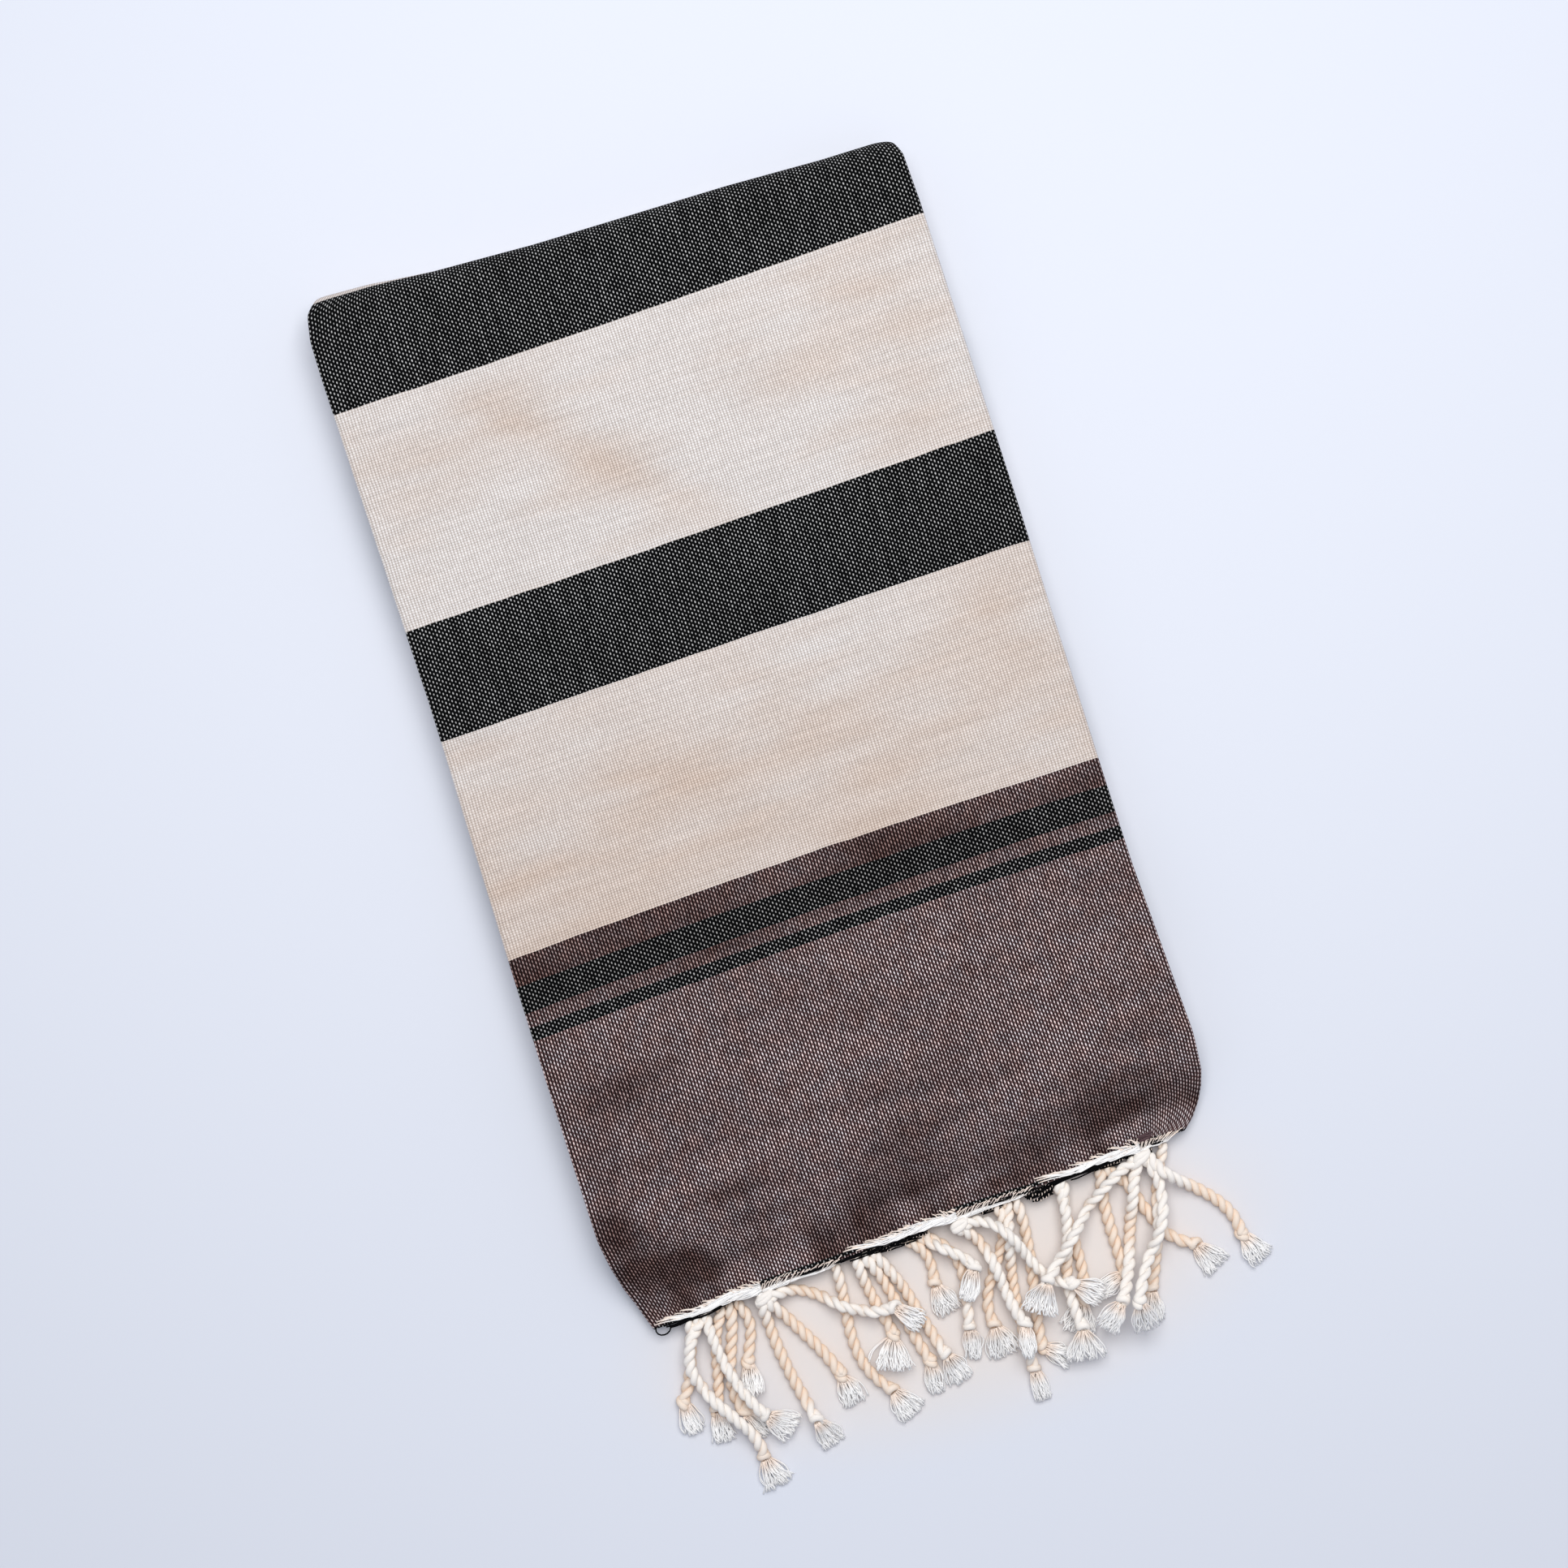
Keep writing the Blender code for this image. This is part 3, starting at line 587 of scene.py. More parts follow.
# The mauve took its dye unevenly: redder in some places and greyer in others.
DYE_SIZE = 7.7 * MM
REDDER = hex_colour("#fff3f1")
GREYER = hex_colour("#f5f9ff")
dye = add_node(tree, "TexNoise", {"Vector": uv, "Scale": 1 / DYE_SIZE, "Detail": 3.0})
dye = add_node(tree, "MapRange", {"Value": dye, "From Min": 0.35, "From Max": 0.65})
dye = add_node(tree, "Mix", {0: dye, 6: REDDER, 7: GREYER}, **COLOURS)
undyed = add_node(tree, "Math", (cream, black), operation="MAXIMUM")
mauve = add_node(tree, "Math", (1.0, undyed), operation="SUBTRACT")
colour = add_node(tree, "Mix", {0: mauve, 6: colour, 7: dye}, **TINTED)
relief = add_node(tree, "Math", (warp, weft), operation="MAXIMUM")
bump = add_node(tree, "Bump", {"Strength": 0.6, "Distance": 0.25 * MM, "Height": relief})
cotton = add_node(
    tree,
    "BsdfPrincipled",
    {"Base Color": colour, "Roughness": 0.95, "Specular IOR Level": 0.08, "Normal": bump},
)
add_node(tree, "OutputMaterial", {"Surface": cotton})
mesh.materials.append(woven_cotton)
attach(cloth, "root")
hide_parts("cloth")

# ---------------------------------------------------------------------------------------
# The fringe: the warp ends of each ply run along its edge into three knots, and are then
# twisted into two-ply cords. Each cord ends in an overhand knot and a brush of loose yarn.
UP = Vector((0, 0, 1))
KNOT_OUT = 4.4 * MM
KNOT_REACH = 3.4 * MM
KNOT_TALL = 2.7 * MM
ROPE = 2.45 * MM
END_KNOT = 2.9 * MM
END_KNOT_WIDE = 3.3 * MM
END_KNOT_LENGTH = 6.6 * MM
END_KNOT_FLAT = 0.4
BRUSH = 14.5 * MM
BRUSH_HEIGHT = 1.4 * MM
BRUSH_ROOT = 1.8 * MM
ROPE_SAMPLES = 80
BRUSH_SAMPLES = 12
# How strands lie on each other: the space between two, the steepest slope of one, the way
# it takes to come down from its hem knot, and the part at its root that lies on nothing.
APART = 0.5 * MM
SLOPE = 0.65
DESCENT = 13 * MM
ROOT_FREE = 3.5 * MM
ROOT_SHARED = 9 * MM

# Each strand in the order in which it was laid: its ply and hem knot, how far beside the
# knot it starts, where its end knot lies, how far it bows to its left a third and two
# thirds of the way, and the heading in degrees and the width of its brush. Lengths in mm.
Strand = namedtuple("Strand", "ply knot start end_x end_y bow_a bow_b heading brush")
STRANDS = (
    Strand(2, 0, 0, -34, -272.5, -4, -6.5, -65, 14),
    Strand(1, 0, -4, -105, -258, -1.5, 0, -95, 11),
    Strand(1, 0, 0, -94.5, -262, -1.5, -3.5, -60, 8),
    Strand(1, 0, 4, -86.5, -243, 3, 2, -100, 9),
    Strand(3, 0, -3.5, -117, -251, 1, 1.5, -85, 9),
    Strand(3, 1, -4, -26.5, -251, -1, -0.5, -110, 17),
    Strand(3, 1, 0, -15.5, -266, 1, 0, -95, 8),
    Strand(3, 1, 4, -8.5, -265, 1.5, 0.5, -75, 11),
    Strand(1, 1, -3.5, -4, -236.5, 3, 2.5, -80, 12),
    Strand(1, 1, 4, 4, -257.5, 7, 5, -95, 8),
    Strand(1, 1, 2, 13.5, -234, 0.5, 1, -120, 7),
    Strand(2, 1, -4, 14, -260, 1.5, -2.5, -85, 15),
    Strand(2, 1, 4, 30, -274.5, 1.5, 0.5, -45, 10),
    Strand(2, 1, 0, 24, -282, -2.5, -2.5, -90, 8),
    Strand(3, 2, 0, 52, -261, -0.5, 1.5, -115, 16),
    Strand(3, 2, -2, 48, -271, 0, -2.5, -100, 18),
    Strand(1, 2, -1, 71.5, -257, -1.5, -1, -165, 8),
    Strand(1, 2, 2, 102.5, -254, -0.5, -4, -65, 14),
    Strand(2, 2, -1, 80, -266, -1, 0.5, -100, 9),
    Strand(3, 0, 3.5, -86, -265, -3, -3, -50, 14),
    Strand(4, 0, 0, -52, -260, 0.5, 1, -85, 12),
    Strand(4, 0, -2, -67, -273.5, -2, -2, -75, 12),
    Strand(4, 1, -2, 26, -262, 4.5, 1.5, -100, 6),
    Strand(4, 1, 2, 49, -252, 5.5, -1, -40, 12),
    Strand(4, 2, -1.5, 66.5, -264.5, 0, 1.5, -135, 12),
    Strand(4, 2, 1, 72.5, -265.5, 8.5, 5, -90, 12),
    Strand(4, 2, 3, 122, -256, 0.5, 4, -65, 14),
    Strand(4, 0, 2.5, -23, -239.5, 2.1, -2.5, -50, 10),
    Strand(3, 0, 0, -92.5, -282.5, -11, -3.5, -80, 14),
    Strand(4, 2, -3, 40, -247.5, -3.5, -2, -120, 16),
)
# A strand's middle at one place: its half width and half height there, and the way to it.
Sample = namedtuple("Sample", "point wide tall way")


def knot_centre(ply, number):
    x = HEM_KNOTS[ply][number] * MM
    y = HEM_Y - KNOT_OUT
    return settle(x, y, top_run(y)[1] + (ply - 1) * PLY)


def plan_of(row):
    """A strand's samples, seen from above, and the way to its end knot."""
    root = knot_centre(row.ply, row.knot).xy + Vector((row.start * MM, 0))
    end = Vector((row.end_x * MM, row.end_y * MM))
    chord = end - root
    left = Vector((-chord.y, chord.x)).normalized()
    points = []
    for k in range(ROPE_SAMPLES + 1):
        t = k / ROPE_SAMPLES
        bow = row.bow_a * (t - 2 / 3) - row.bow_b * (t - 1 / 3)
        points.append(root + t * chord + left * (13.5 * t * (t - 1) * bow * MM))
    heading = math.radians(row.heading)
    out = Vector((math.cos(heading), math.sin(heading))) * BRUSH
    points += [end + out * k / BRUSH_SAMPLES for k in range(1, BRUSH_SAMPLES + 1)]
    ways = [0.0]
    for p, q in zip(points, points[1:]):
        ways.append(ways[-1] + (q - p).length)
    knot_at = ways[ROPE_SAMPLES]
    half = END_KNOT_LENGTH / 2
    profile = (
        (knot_at - half, ROPE, ROPE),
        (knot_at - END_KNOT_FLAT * half, END_KNOT_WIDE, END_KNOT),
        (knot_at + END_KNOT_FLAT * half, END_KNOT_WIDE, END_KNOT),
        (knot_at + half, BRUSH_ROOT, BRUSH_ROOT),
        (knot_at + BRUSH, row.brush * MM / 2, BRUSH_HEIGHT),
    )
    wide = [(way, width) for way, width, height in profile]
    tall = [(way, height) for way, width, height in profile]
    samples = [Sample(p, between(way, wide), between(way, tall), way) for p, way in zip(points, ways)]
    return samples, knot_at


def lay(strand, root, obstacles):
    """Heights of a strand's samples, resting on the surface or on what lies there."""
    heights = []
    for point, wide, tall, way in strand:
        height = tall + (root.z - tall) * (1 - smooth(way / DESCENT))
        for other, other_wide, other_tall, other_height, other_root, other_way in obstacles:
            shared = other_root == root and min(way, other_way) < ROOT_SHARED
            if shared or way < ROOT_FREE:
                continue
            apart = (point - other).length / (wide + other_wide + APART)
            if apart < 1:
                # Ropes are round where they cross, and knots and brushes are blunt.
                blunt = 4 if max(wide, other_wide) > ROPE * 1.2 else 2
                over = (tall + other_tall + APART) * (1 - apart**blunt) ** (1 / blunt)
                height = max(height, other_height + over)
        heights.append(height)
    count = len(strand)
    for step, order in ((1, range(1, count)), (-1, range(count - 2, -1, -1))):
        for k in order:
            if strand[k].way > 1 * MM:
                run = abs(strand[k].way - strand[k - step].way)
                heights[k] = max(heights[k], heights[k - step] - SLOPE * run)
    return heights


def centre_line(strand, heights, root, lead):
    """Gives the middle of a strand by the way along it, from its lead before the root."""
    ways = [sample.way for sample in strand]
    places = []
    for k, sample in enumerate(strand):
        near = heights[max(0, k - 2) : k + 3]
        places.append((sample.point.x, sample.point.y, sum(near) / len(near)))
    if lead:
        ways.insert(0, -lead)
        places.insert(0, (places[0][0], places[0][1] + lead, root.z - 0.1 * lead))
    xs, ys, zs = [list(zip(ways, axis)) for axis in zip(*places)]

    def centre_at(way):
        return Vector((between(way, xs), between(way, ys), between(way, zs)))

    return centre_at


# Points, faces, the faces' corners on the UV map and the faces' materials of a piece.
Shape = namedtuple("Shape", "points faces corners finishes")
CORD, WHITE, BLACK, MAUVE = range(4)


def add_tube(shape, path, radii, sides, outward=None, finish=CORD):
    """A closed tube along a path, with its half width and half height at each point. Its
    seam lies away from the outward direction, or below."""
    start = len(shape.points)
    count = len(path)
    ways = [0.0]
    for k, point in enumerate(path):
        ahead = path[min(k + 1, count - 1)] - path[max(k - 1, 0)]
        side = ahead.cross(outward[k] if outward else UP).normalized()
        up = side.cross(ahead).normalized()
        wide, tall = radii[k]
        for n in range(sides):
            angle = 2 * math.pi * n / sides
            shape.points.append(point + side * wide * math.sin(angle) - up * tall * math.cos(angle))
        if k:
            ways.append(ways[-1] + (point - path[k - 1]).length)
    edge = 2 * math.pi * radii[count // 2][0] / sides
    for k in range(count - 1):
        low, high = ways[k], ways[k + 1]
        for n in range(sides):
            a, b = start + k * sides + n, start + k * sides + (n + 1) % sides
            near, far = n * edge, (n + 1) * edge
            shape.faces.append((a, b, b + sides, a + sides))
            shape.corners.append(((near, low), (far, low), (far, high), (near, high)))
            shape.finishes.append(finish)
    for ring in (start, start + (count - 1) * sides):
        shape.faces.append(tuple(range(ring, ring + sides)))
        shape.corners.append(((0, 0),) * sides)
        shape.finishes.append(finish)


LEAD = 5 * MM
CORD_PITCH = 9.8 * MM
CORD_STEP = 0.8 * MM
CORD_SIDES = 10
PLY_OFFSET = 1.18 * MM
PLY_RADIUS = 1.36 * MM
LOOSE_WAY = 14 * MM
LUMP_SPACING = 2.9 * MM


def add_cord(shape, centre_at, lead, length, chance):
    """Two plies laid right-handed round each other, looser towards the end knot. Over its
    lead, before the root, a cord is only gathered threads."""
    count = round((lead + length) / CORD_STEP)
    pitch = CORD_PITCH * chance.uniform(0.84, 1.06)
    stout = chance.uniform(0.95, 1.06)
    turned = chance.uniform(0, 2 * math.pi)
    lines = ([], [])
    outwards = ([], [])
    radii = []
    for k in range(count + 1):
        way = (lead + length) * k / count - lead
        ahead = (centre_at(way + CORD_STEP) - centre_at(way - CORD_STEP)).normalized()
        side = ahead.cross(UP).normalized()
        up = side.cross(ahead)
        loose = 1 + 0.10 * smooth((way - length + LOOSE_WAY) / LOOSE_WAY)
        turned -= 2 * math.pi * ((lead + length) / count) / (pitch * loose)
        full = 0.35 + 0.65 * smooth(1 + way / lead) if lead else 1.0
        swollen = full * stout * loose * (1 + 0.035 * math.sin(way / LUMP_SPACING))
        radii.append((PLY_RADIUS * swollen, PLY_RADIUS * swollen * 0.96))
        for n in range(2):
            angle = turned + n * math.pi
            outward = side * math.cos(angle) + up * math.sin(angle)
            lines[n].append(centre_at(way) + outward * PLY_OFFSET * stout * full)
            outwards[n].append(outward)
    for line, outward in zip(lines, outwards):
        add_tube(shape, line, radii, CORD_SIDES, outward)


# The coils of the two kinds of knot: how far a coil reaches from the middle, to the side
# and up, its half width and half height, and how far it climbs along the cord.
Coil = namedtuple("Coil", "reach radius rise")
HEM_COIL = Coil((3.0 * MM, 1.1 * MM), (1.45 * MM, 1.25 * MM), 2.4 * MM)
END_COIL = Coil((1.75 * MM, 1.5 * MM), (1.5 * MM, 1.3 * MM), 3.0 * MM)
COIL_STEPS = 36


def add_wrap(shape, centre, axes, coil, turns, lean, roll):
    """A turn or so of cord round a knot, with its two ends tucked into the middle."""
    ahead, side, up = axes
    path, outwards = [], []
    for k in range(COIL_STEPS + 1):
        t = k / COIL_STEPS
        angle = roll + 2 * math.pi * turns * t
        tucked = 1 - 0.75 * abs(2 * t - 1) ** 5
        outward = side * math.cos(angle) * coil.reach[0] + up * math.sin(angle) * coil.reach[1]
        climb = coil.rise * (t - 0.5) + lean * math.sin(angle - roll)
        path.append(centre + ahead * climb + outward * tucked)
        outwards.append((side * math.cos(angle) + up * math.sin(angle)).normalized())
    add_tube(shape, path, [coil.radius] * (COIL_STEPS + 1), CORD_SIDES, outwards)


YARN_RADIUS = 0.27 * MM
YARN_SIDES = 4
YARN_STEPS = 9
LOCKS = 7
STRAY_SHARE = 0.14


def add_brush(shape, centre_at, knot_at, row, chance):
    """The loose yarns past an end knot, in locks, spread to the brush's width."""
    count = round(46 + row.brush)
    locks = [chance.uniform(-1, 1) for k in range(LOCKS)]
    start = knot_at + 1.6 * MM
    ahead = (centre_at(knot_at + BRUSH) - centre_at(knot_at + 1 * MM)).normalized()
    side = ahead.cross(UP).normalized()
    for n in range(count):
        spread = -1 + 2 * (n + chance.uniform(0.0, 1.0)) / count
        lifted = chance.uniform(-1, 1)
        lock = min(locks, key=lambda middle: abs(middle - spread))
        stray = chance.uniform(0.85, 1.4) if chance.random() < STRAY_SHARE else 1.0
        spread_end = stray * (0.66 * spread + 0.34 * lock) + chance.uniform(-0.10, 0.10)
        length = BRUSH - 1.4 * MM - chance.uniform(-0.8, 2.4) * MM
        length -= 1.5 * MM * min(1.0, spread_end**2)
        swerve = chance.uniform(-1.7, 1.7) * stray * MM
        curl = chance.uniform(-1.1, 1.1) * stray * MM
        curl_from = chance.uniform(0, 1)
        hump = chance.uniform(0, 1.4) * MM
        path = []
        for k in range(YARN_STEPS + 1):
            t = k / YARN_STEPS
            fan = t**0.9
            across = spread * 2.1 * MM * (1 - fan) + spread_end * (row.brush / 2 - 0.5) * MM * fan
            across += swerve * math.sin(math.pi * t) + curl * t * math.sin(7 * t + 6 * curl_from)
            rise = lifted * 1.5 * MM * (1 - 0.5 * t) + hump * math.sin(math.pi * t)
            point = centre_at(start + length * t) + side * across
            point.z = max(YARN_RADIUS, point.z + rise)
            path.append(point)
        thick = YARN_RADIUS * chance.uniform(0.85, 1.15)
        radii = [(thick, thick)] * YARN_STEPS + [(thick * 1.2, thick * 1.2)]
        add_tube(shape, path, radii, YARN_SIDES, finish=WHITE)


def hem_point(ply, x, out, over):
    """A place so far outside the end of a ply and so far over the middle of its cloth."""
    y = HEM_Y + drawn_in(x, ply) - out
    return settle(x, y, top_run(max(y, HEM_Y))[1] + (ply - 1) * PLY + over)


# The warp ends that run into a knot from either side: over what share of their way they
# gather, how far inside the edge they start, how near the knot they bunch, and how thick
# they are. Lengths in mm, and a pair is a range.
Gathering = namedtuple("Gathering", "side share inset near thick")
GATHERINGS = (
    Gathering(-1, (0.28, 0.40), (1.0, 3.6), 12, (0.22, 0.30)),
    Gathering(1, (0.10, 0.20), (0.2, 1.6), 9, (0.15, 0.21)),
)
# How far from one knot to the next the ends still run to the first.
KNOT_SHARE = 0.42
END_STEPS = 9


def add_warp_ends(shape, ply, chance):
    """Warp ends past the last pick of a ply, which run along its edge into their knot:
    those from the left on top of it, those from the right over its picks and under it."""
    knots = [x * MM for x in HEM_KNOTS[ply]]
    bounds = [LEFT, *[a + (b - a) * KNOT_SHARE for a, b in zip(knots, knots[1:])], RIGHT]
    for knot, low, high in zip(knots, bounds, bounds[1:]):
        for kind, far in zip(GATHERINGS, (low, high)):
            count = max(2, round(1.15 * abs(far - knot) / WARP_PITCH))
            for n in range(count):
                start = far + (knot - far) * (n + chance.uniform(0.1, 0.9)) / count
                gathers = chance.uniform(*kind.share)
                slant = max(gathers * abs(knot - start), chance.uniform(2.5, 6.0) * MM)
                reach = 0.40 * MM * math.sqrt(n * chance.uniform(0.2, 1.0) + 0.5)
                turned = chance.uniform(0, 2 * math.pi)
                inset = chance.uniform(*kind.inset) * MM
                path = []
                for k in range(END_STEPS + 1):
                    x = start + (knot - start) * (k / END_STEPS) ** 1.5
                    gathered = smooth(abs(x - start) / slant)
                    near = smooth(1 - abs(x - knot) / (kind.near * MM))
                    spun = turned + (x - knot) / (6 * MM)
                    beside, above = reach * math.cos(spun), reach * 0.55 * math.sin(spun)
                    if kind.side < 0:
                        bunched = 1.9 * MM * near - 0.3 * MM + beside
                        over = 0.85 * MM + gathered * (0.35 * MM + above)
                    else:
                        bunched = 2.1 * MM + 0.6 * MM * near + 0.5 * beside
                        over = 0.85 * MM - gathered * (1.1 * MM - 0.9 * MM * near - above)
                    out = gathered * bunched - inset * (1 - gathered)
                    path.append(hem_point(ply, x, out, over))
                thick = chance.uniform(*kind.thick) * MM
                radii = [(thick, thick)] * (END_STEPS + 1)
                add_tube(shape, path, radii, YARN_SIDES, finish=WHITE)


# Where the loose picks at the end of a ply show: from x to x, and between which distances
# past its end. All in mm.
Frayed = namedtuple("Frayed", "ply start end first last")
FRAYED = (
    Frayed(4, -121, -84, 0.2, 1.9),
    Frayed(4, -58, -28, 0.2, 0.9),
    Frayed(4, -40, 2, 0.4, 2.4),
    Frayed(4, 24, 52, 0.2, 0.9),
    Frayed(4, 52, 88, 0.2, 2.4),
    Frayed(4, 100, 113, 0.0, 1.8),
    Frayed(3, -31, 0, 2.0, 4.6),
    Frayed(3, 22, 33, 1.6, 3.4),
    Frayed(3, 41, 56, 1.6, 7.2),
    Frayed(3, 70, 85, 1.8, 3.6),
    Frayed(3, 85, 89.5, 1.8, 5.4),
    Frayed(3, 98.5, 103.5, 2.0, 6.4),
)
MAUVE_FRAYED = Frayed(4, 92.5, 101, -3.4, -0.6)
PICK_SPACING = 0.5 * MM
PICK_STEP = 2.2 * MM
PICK_SIDES = 6


def add_picks(shape, row, over, chance, finish):
    """Picks of weft along the end of a ply. The outer ones are shorter, and all of them
    are loose."""
    start, end = row.start * MM, row.end * MM
    first, last = row.first * MM, row.last * MM
    count = max(1, round((last - first) / PICK_SPACING))
    for n in range(count + 1):
        out = first + (last - first) * n / count
        shorter = 0.34 * (end - start) * (n / (count + 1)) ** 2
        x0 = start + shorter * chance.uniform(0.5, 1.3)
        x1 = end - shorter * chance.uniform(0.5, 1.3)
        wave = chance.uniform(0.15, 0.40) * MM
        phase = chance.uniform(0, 6)
        path = []
        for x in steps(x0, x1, max(3, round((x1 - x0) / PICK_STEP))):
            bowed = out + wave * math.sin(phase + x / (4.1 * MM)) + chance.uniform(-0.08, 0.08) * MM
            raised = over + 0.2 * MM * math.sin(2 * phase + x / (3.3 * MM)) - 0.12 * (out - first)
            path.append(hem_point(row.ply, x, bowed, raised))
        thick = chance.uniform(0.30, 0.42) * MM
        add_tube(shape, path, [(thick, thick)] * len(path), PICK_SIDES, finish=finish)


DOT_SPACING = 1.3 * MM
DOT_RADIUS = 0.2 * MM
DOT_RISE = 0.42 * MM


def add_dots(shape, row, over, chance):
    """Warp ends crossing over the loose picks of a ply here and there."""
    start, end = row.start * MM, row.end * MM
    first, last = row.first * MM, row.last * MM
    for x in steps(start, end, round((end - start) / DOT_SPACING)):
        # The outer picks are shorter, so fewer warp ends reach out to them.
        inside = min(1.0, min(x - start, end - x) / (0.44 * (end - start)))
        reach = first + (last - first) * math.sqrt(inside)
        out = first + chance.uniform(0, 0.9) * MM
        while out < reach:
            tall = chance.uniform(0.5, 1.0) * MM
            lean = chance.uniform(0.1, 0.5) * MM
            path = [
                hem_point(row.ply, x + lean, out, over),
                hem_point(row.ply, x + lean / 2, out + tall / 2, over + DOT_RISE),
                hem_point(row.ply, x, out + tall, over),
            ]
            add_tube(shape, path, [(DOT_RADIUS, DOT_RADIUS)] * 3, YARN_SIDES, finish=WHITE)
            out += chance.uniform(1.6, 2.6) * MM


# The hem knots come first. Only those of the top ply show: the others lie under its hem.
chance = random.Random(11)
obstacles = []
fringes = {ply: Shape([], [], [], []) for ply in HEM_KNOTS}
top_fringe = fringes[4]
HEM_AXES = (Vector((0, -1, 0)), Vector((1, 0, 0)), UP)
HEM_KNOT_LIFT = Vector((0, 0.9 * MM, 0.4 * MM))
# The coils of a hem knot: their turns, their lean in mm and where they start, in radians.
HEM_WRAPS = ((1.6, 0.9, 2.4), (1.1, -1.3, 3.8))
for ply, knots in HEM_KNOTS.items():
    for number in range(len(knots)):
        centre = knot_centre(ply, number)
        obstacles.append((centre.xy, KNOT_REACH, KNOT_TALL, centre.z, centre, 0.0))
        if ply == 4:
            for turns, lean, roll in HEM_WRAPS:
                roll += chance.uniform(-0.5, 0.5)
                raised = centre + HEM_KNOT_LIFT
                add_wrap(top_fringe, raised, HEM_AXES, HEM_COIL, turns, lean * MM, roll)
add_warp_ends(top_fringe, 4, chance)

# Then the frayed edges: the picks of the top ply lie in its end, those of the third hang
# under it, and a tuft of mauve picks has worked up through the cloth beside a knot.
TOP_PICKS_OVER = 0.2 * MM
THIRD_PICKS_OVER = -0.6 * MM
MAUVE_OVER = 0.95 * MM
for row in FRAYED:
    over = TOP_PICKS_OVER if row.ply == 4 else THIRD_PICKS_OVER
    add_picks(fringes[row.ply], row, over, chance, BLACK)
    if row.ply < 4:
        add_dots(fringes[row.ply], row, over + DOT_RADIUS, chance)
add_picks(top_fringe, MAUVE_FRAYED, MAUVE_OVER, chance, MAUVE)

# A loose end of black weft curls into a loop at the left corner of the hem.
LOOP_MIDDLE = Vector((-115.4, -219.6, 4.6)) * MM
LOOP_RADIUS = 0.34 * MM
curl = []
for angle in steps(-3.9, 2.4, 14):
    offset = Vector((3.1 * math.cos(angle), 2.6 * math.sin(angle), 0.5 * math.sin(2 * angle)))
    curl.append(LOOP_MIDDLE + offset * MM)
add_tube(top_fringe, curl, [(LOOP_RADIUS, LOOP_RADIUS)] * len(curl), PICK_SIDES, finish=BLACK)

# Then each strand, in the order in which it was laid. Those of the lower plies start as
# gathered threads under the hem.
for row in STRANDS:
    strand, knot_at = plan_of(row)
    root = knot_centre(row.ply, row.knot)
    heights = lay(strand, root, obstacles)
    for sample, height in zip(strand, heights):
        obstacles.append((*sample[:3], height, root, sample.way))
    lead = 0.0 if row.ply == 4 else LEAD
    centre_at = centre_line(strand, heights, root, lead)
    add_cord(fringes[row.ply], centre_at, lead, knot_at, chance)
    ahead = (centre_at(knot_at + 2 * MM) - centre_at(knot_at - 3 * MM)).normalized()
    side = ahead.cross(UP).normalized()
    axes = (ahead, side, side.cross(ahead))
    roll = chance.uniform(0, 2 * math.pi)
    add_wrap(fringes[row.ply], centre_at(knot_at), axes, END_COIL, 1.35, 1.0 * MM, roll)
    add_brush(fringes[row.ply], centre_at, knot_at, row, chance)

# Cotton cord: soft grooves slant across each ply between its yarns, 0.62 mm apart, and its skin is
# fuzzy. It is painted warm, as shade, where it lies low among the others, and painted white, as if lit,
# higher up.
YARN_SPACING = 0.62 * MM
GROOVE_SLANT = 0.8
GROOVE_WANDER = 1.1 * MM
WANDER_SIZE = 2.4 * MM
CORD_FUZZ = 1.43 * MM
CORD_SHADED_LOW = hex_colour("#f5dac0")
CORD_LIT_HIGH = hex_colour("#fff9f2")
cotton_cord = new_material("cotton_cord")
tree = cotton_cord.node_tree
uv = add_node(tree, "UVMap", uv_map="yarn")
u = add_node(tree, "SeparateXYZ", (uv,), output=0)
v = add_node(tree, "SeparateXYZ", (uv,), output=1)
position = add_node(tree, "TexCoord", output=3)
wander = add_node(tree, "TexNoise", {"Vector": position, "Scale": 1 / WANDER_SIZE, "Detail": 2.0})
slanted = add_node(tree, "Math", (v, GROOVE_SLANT, u), operation="MULTIPLY_ADD")
slanted = add_node(tree, "Math", (wander, GROOVE_WANDER, slanted), operation="MULTIPLY_ADD")
groove = add_node(tree, "Math", (slanted, 2 * math.pi / YARN_SPACING), operation="MULTIPLY")
groove = add_node(tree, "Math", (groove,), operation="SINE")
# Painted shade by height: warm where the cord lies low, white as if lit higher up.
height = add_node(tree, "SeparateXYZ", (position,), output=2)
raised = add_node(tree, "MapRange", {"Value": height, "From Min": 1.5 * MM, "From Max": 9 * MM}, **EASED)
colour = add_node(tree, "Mix", {0: raised, 6: CORD_SHADED_LOW, 7: CORD_LIT_HIGH}, **COLOURS)
shade = add_node(tree, "MapRange", {"Value": groove, "From Min": -1.0, "To Min": 0.95})
colour = add_node(tree, "Mix", {0: 1.0, 6: colour, 7: shade}, **TINTED)
fuzz = add_node(tree, "TexNoise", {"Vector": position, "Scale": 1 / CORD_FUZZ, "Detail": 4.0})
relief = add_node(tree, "Math", (fuzz, 1.6, groove), operation="MULTIPLY_ADD")
bump = add_node(tree, "Bump", {"Strength": 0.3, "Distance": 0.12 * MM, "Height": relief})
shader = add_node(
    tree,
    "BsdfPrincipled",
    {"Base Color": colour, "Roughness": 0.85, "Specular IOR Level": 0.25, "Normal": bump},
)
add_node(tree, "OutputMaterial", {"Surface": shader})

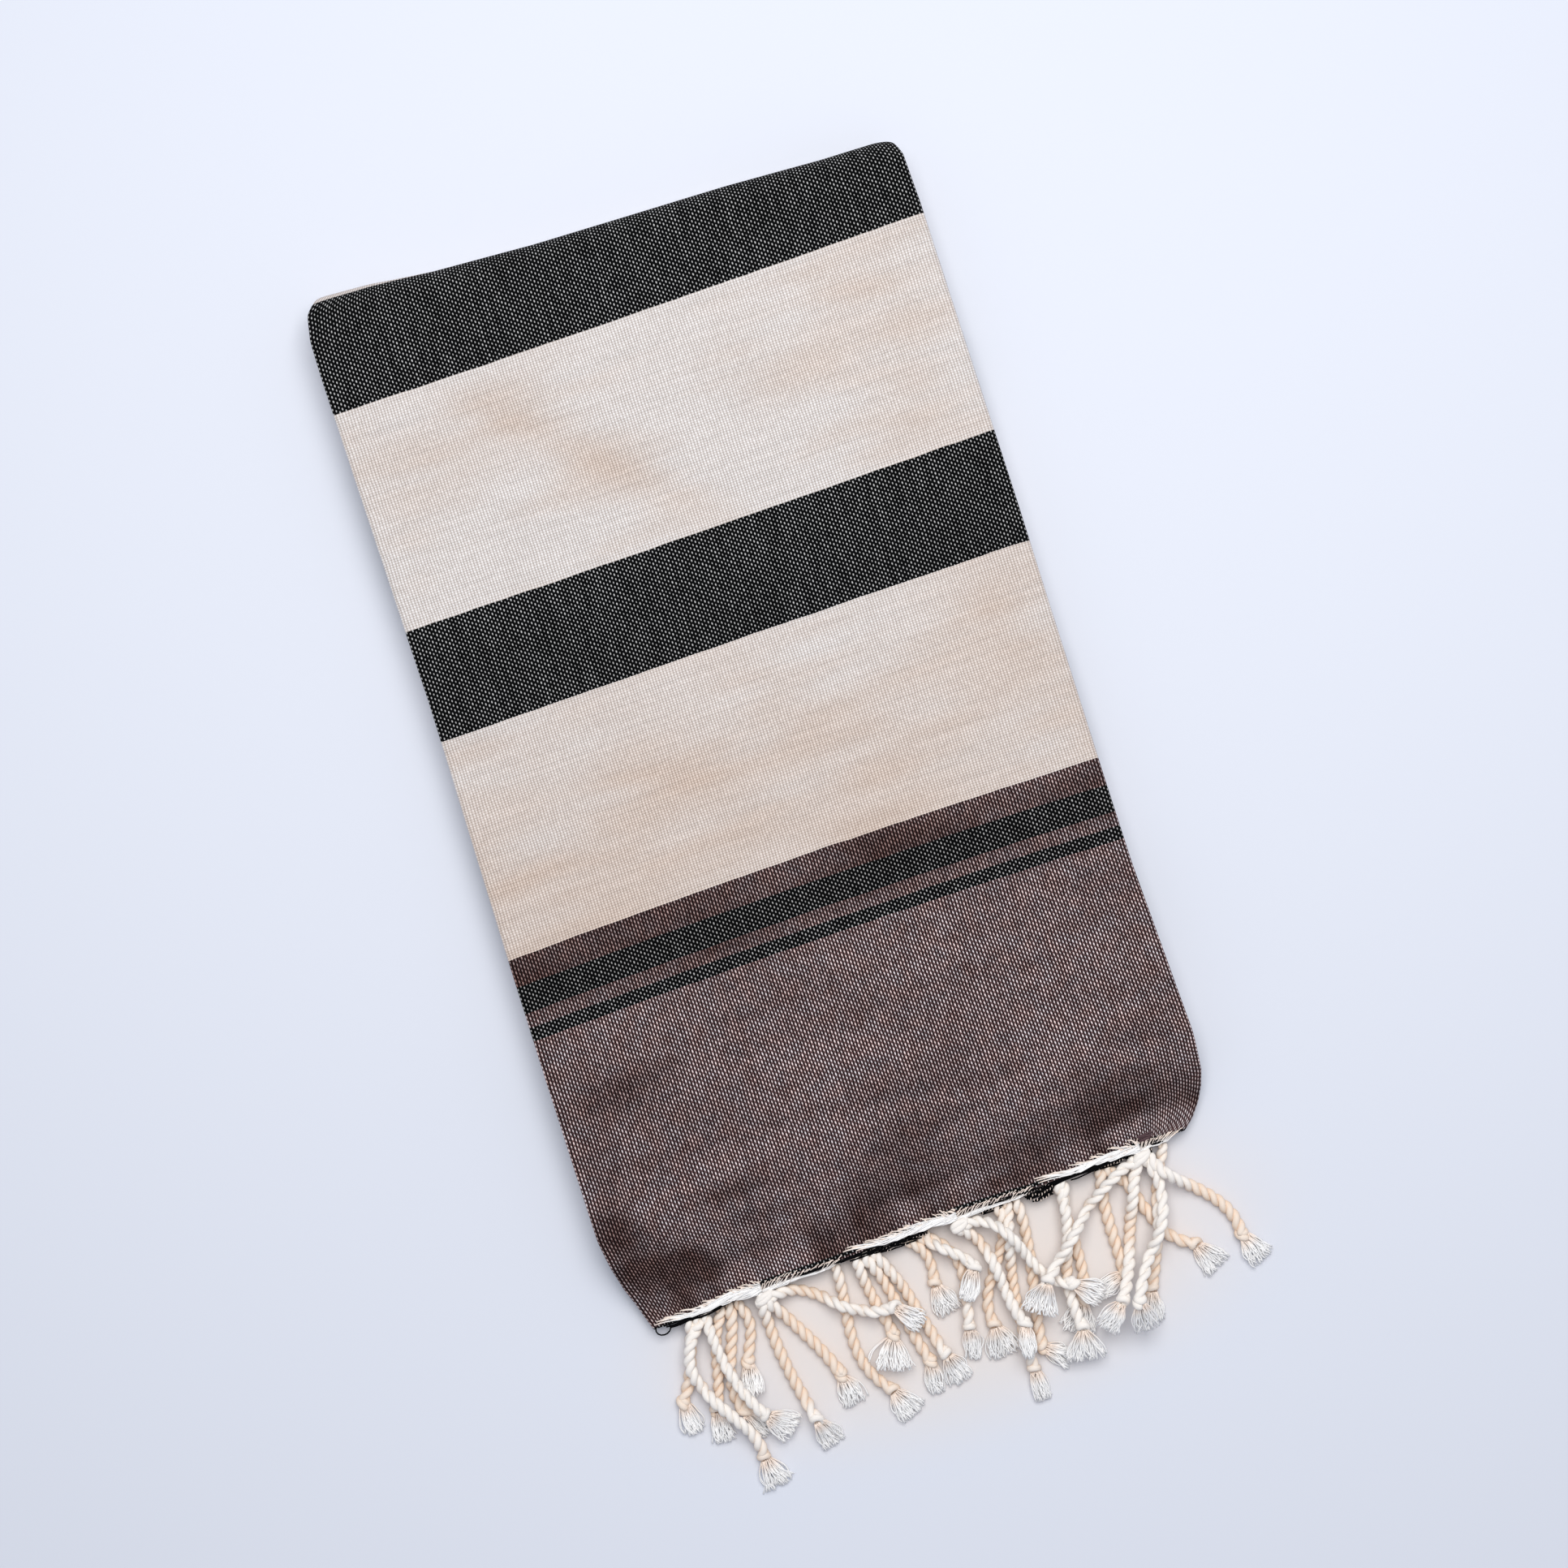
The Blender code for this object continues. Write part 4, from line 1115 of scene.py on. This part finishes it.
# Bleached cotton yarn, loose and fuzzy: whitest at its free ends, where light comes through.
YARN_FUZZ = 1.11 * MM
YARN_ROOT = hex_colour("#faeadd")
YARN_TIP = hex_colour("#fffefd")
bleached_yarn = new_material("bleached_cotton_yarn")
tree = bleached_yarn.node_tree
uv = add_node(tree, "UVMap", uv_map="yarn")
way = add_node(tree, "SeparateXYZ", (uv,), output=1)
tip = add_node(tree, "MapRange", {"Value": way, "From Min": 0.5 * MM, "From Max": 7 * MM}, **EASED)
colour = add_node(tree, "Mix", {0: tip, 6: YARN_ROOT, 7: YARN_TIP}, **COLOURS)
position = add_node(tree, "TexCoord", output=3)
fuzz = add_node(tree, "TexNoise", {"Vector": position, "Scale": 1 / YARN_FUZZ, "Detail": 3.0})
bump = add_node(tree, "Bump", {"Strength": 0.4, "Distance": 0.08 * MM, "Height": fuzz})
shader = add_node(
    tree,
    "BsdfPrincipled",
    {"Base Color": colour, "Roughness": 0.85, "Specular IOR Level": 0.2, "Normal": bump},
)
add_node(tree, "OutputMaterial", {"Surface": shader})

# Dyed cotton yarn, the loose picks of the weft: dull all over, as single threads are.
DYED_YARNS = {"black_cotton_yarn": "#08080a", "mauve_cotton_yarn": "#5c484c"}
yarns = [cotton_cord, bleached_yarn]
for name, dye in DYED_YARNS.items():
    made = new_material(name)
    shader = add_node(
        made.node_tree,
        "BsdfPrincipled",
        {"Base Color": hex_colour(dye), "Roughness": 0.95, "Specular IOR Level": 0.08},
    )
    add_node(made.node_tree, "OutputMaterial", {"Surface": shader})
    yarns.append(made)

for ply, shape in fringes.items():
    mesh = bpy.data.meshes.new(f"knotted_fringe_{ply}")
    mesh.from_pydata(shape.points, [], shape.faces)
    uv_map = mesh.uv_layers.new(name="yarn")
    places = [place for corners in shape.corners for place in corners]
    for corner, place in zip(uv_map.data, places):
        corner.uv = place
    for polygon, finish in zip(mesh.polygons, shape.finishes):
        polygon.material_index = finish
    bm = bmesh.new()
    bm.from_mesh(mesh)
    bmesh.ops.recalc_face_normals(bm, faces=bm.faces[:])
    bm.to_mesh(mesh)
    bm.free()
    # Soft cord is pressed flat by a hair where it lies on the table.
    for vertex in mesh.vertices:
        vertex.co.z = max(0.0, vertex.co.z)
    mesh.shade_smooth()
    for yarn in yarns:
        mesh.materials.append(yarn)
    fringe = bpy.data.objects.new(mesh.name, mesh)
    bpy.context.scene.collection.objects.link(fringe)
    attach(fringe, "root")
    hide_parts(f"fringe_{ply}")
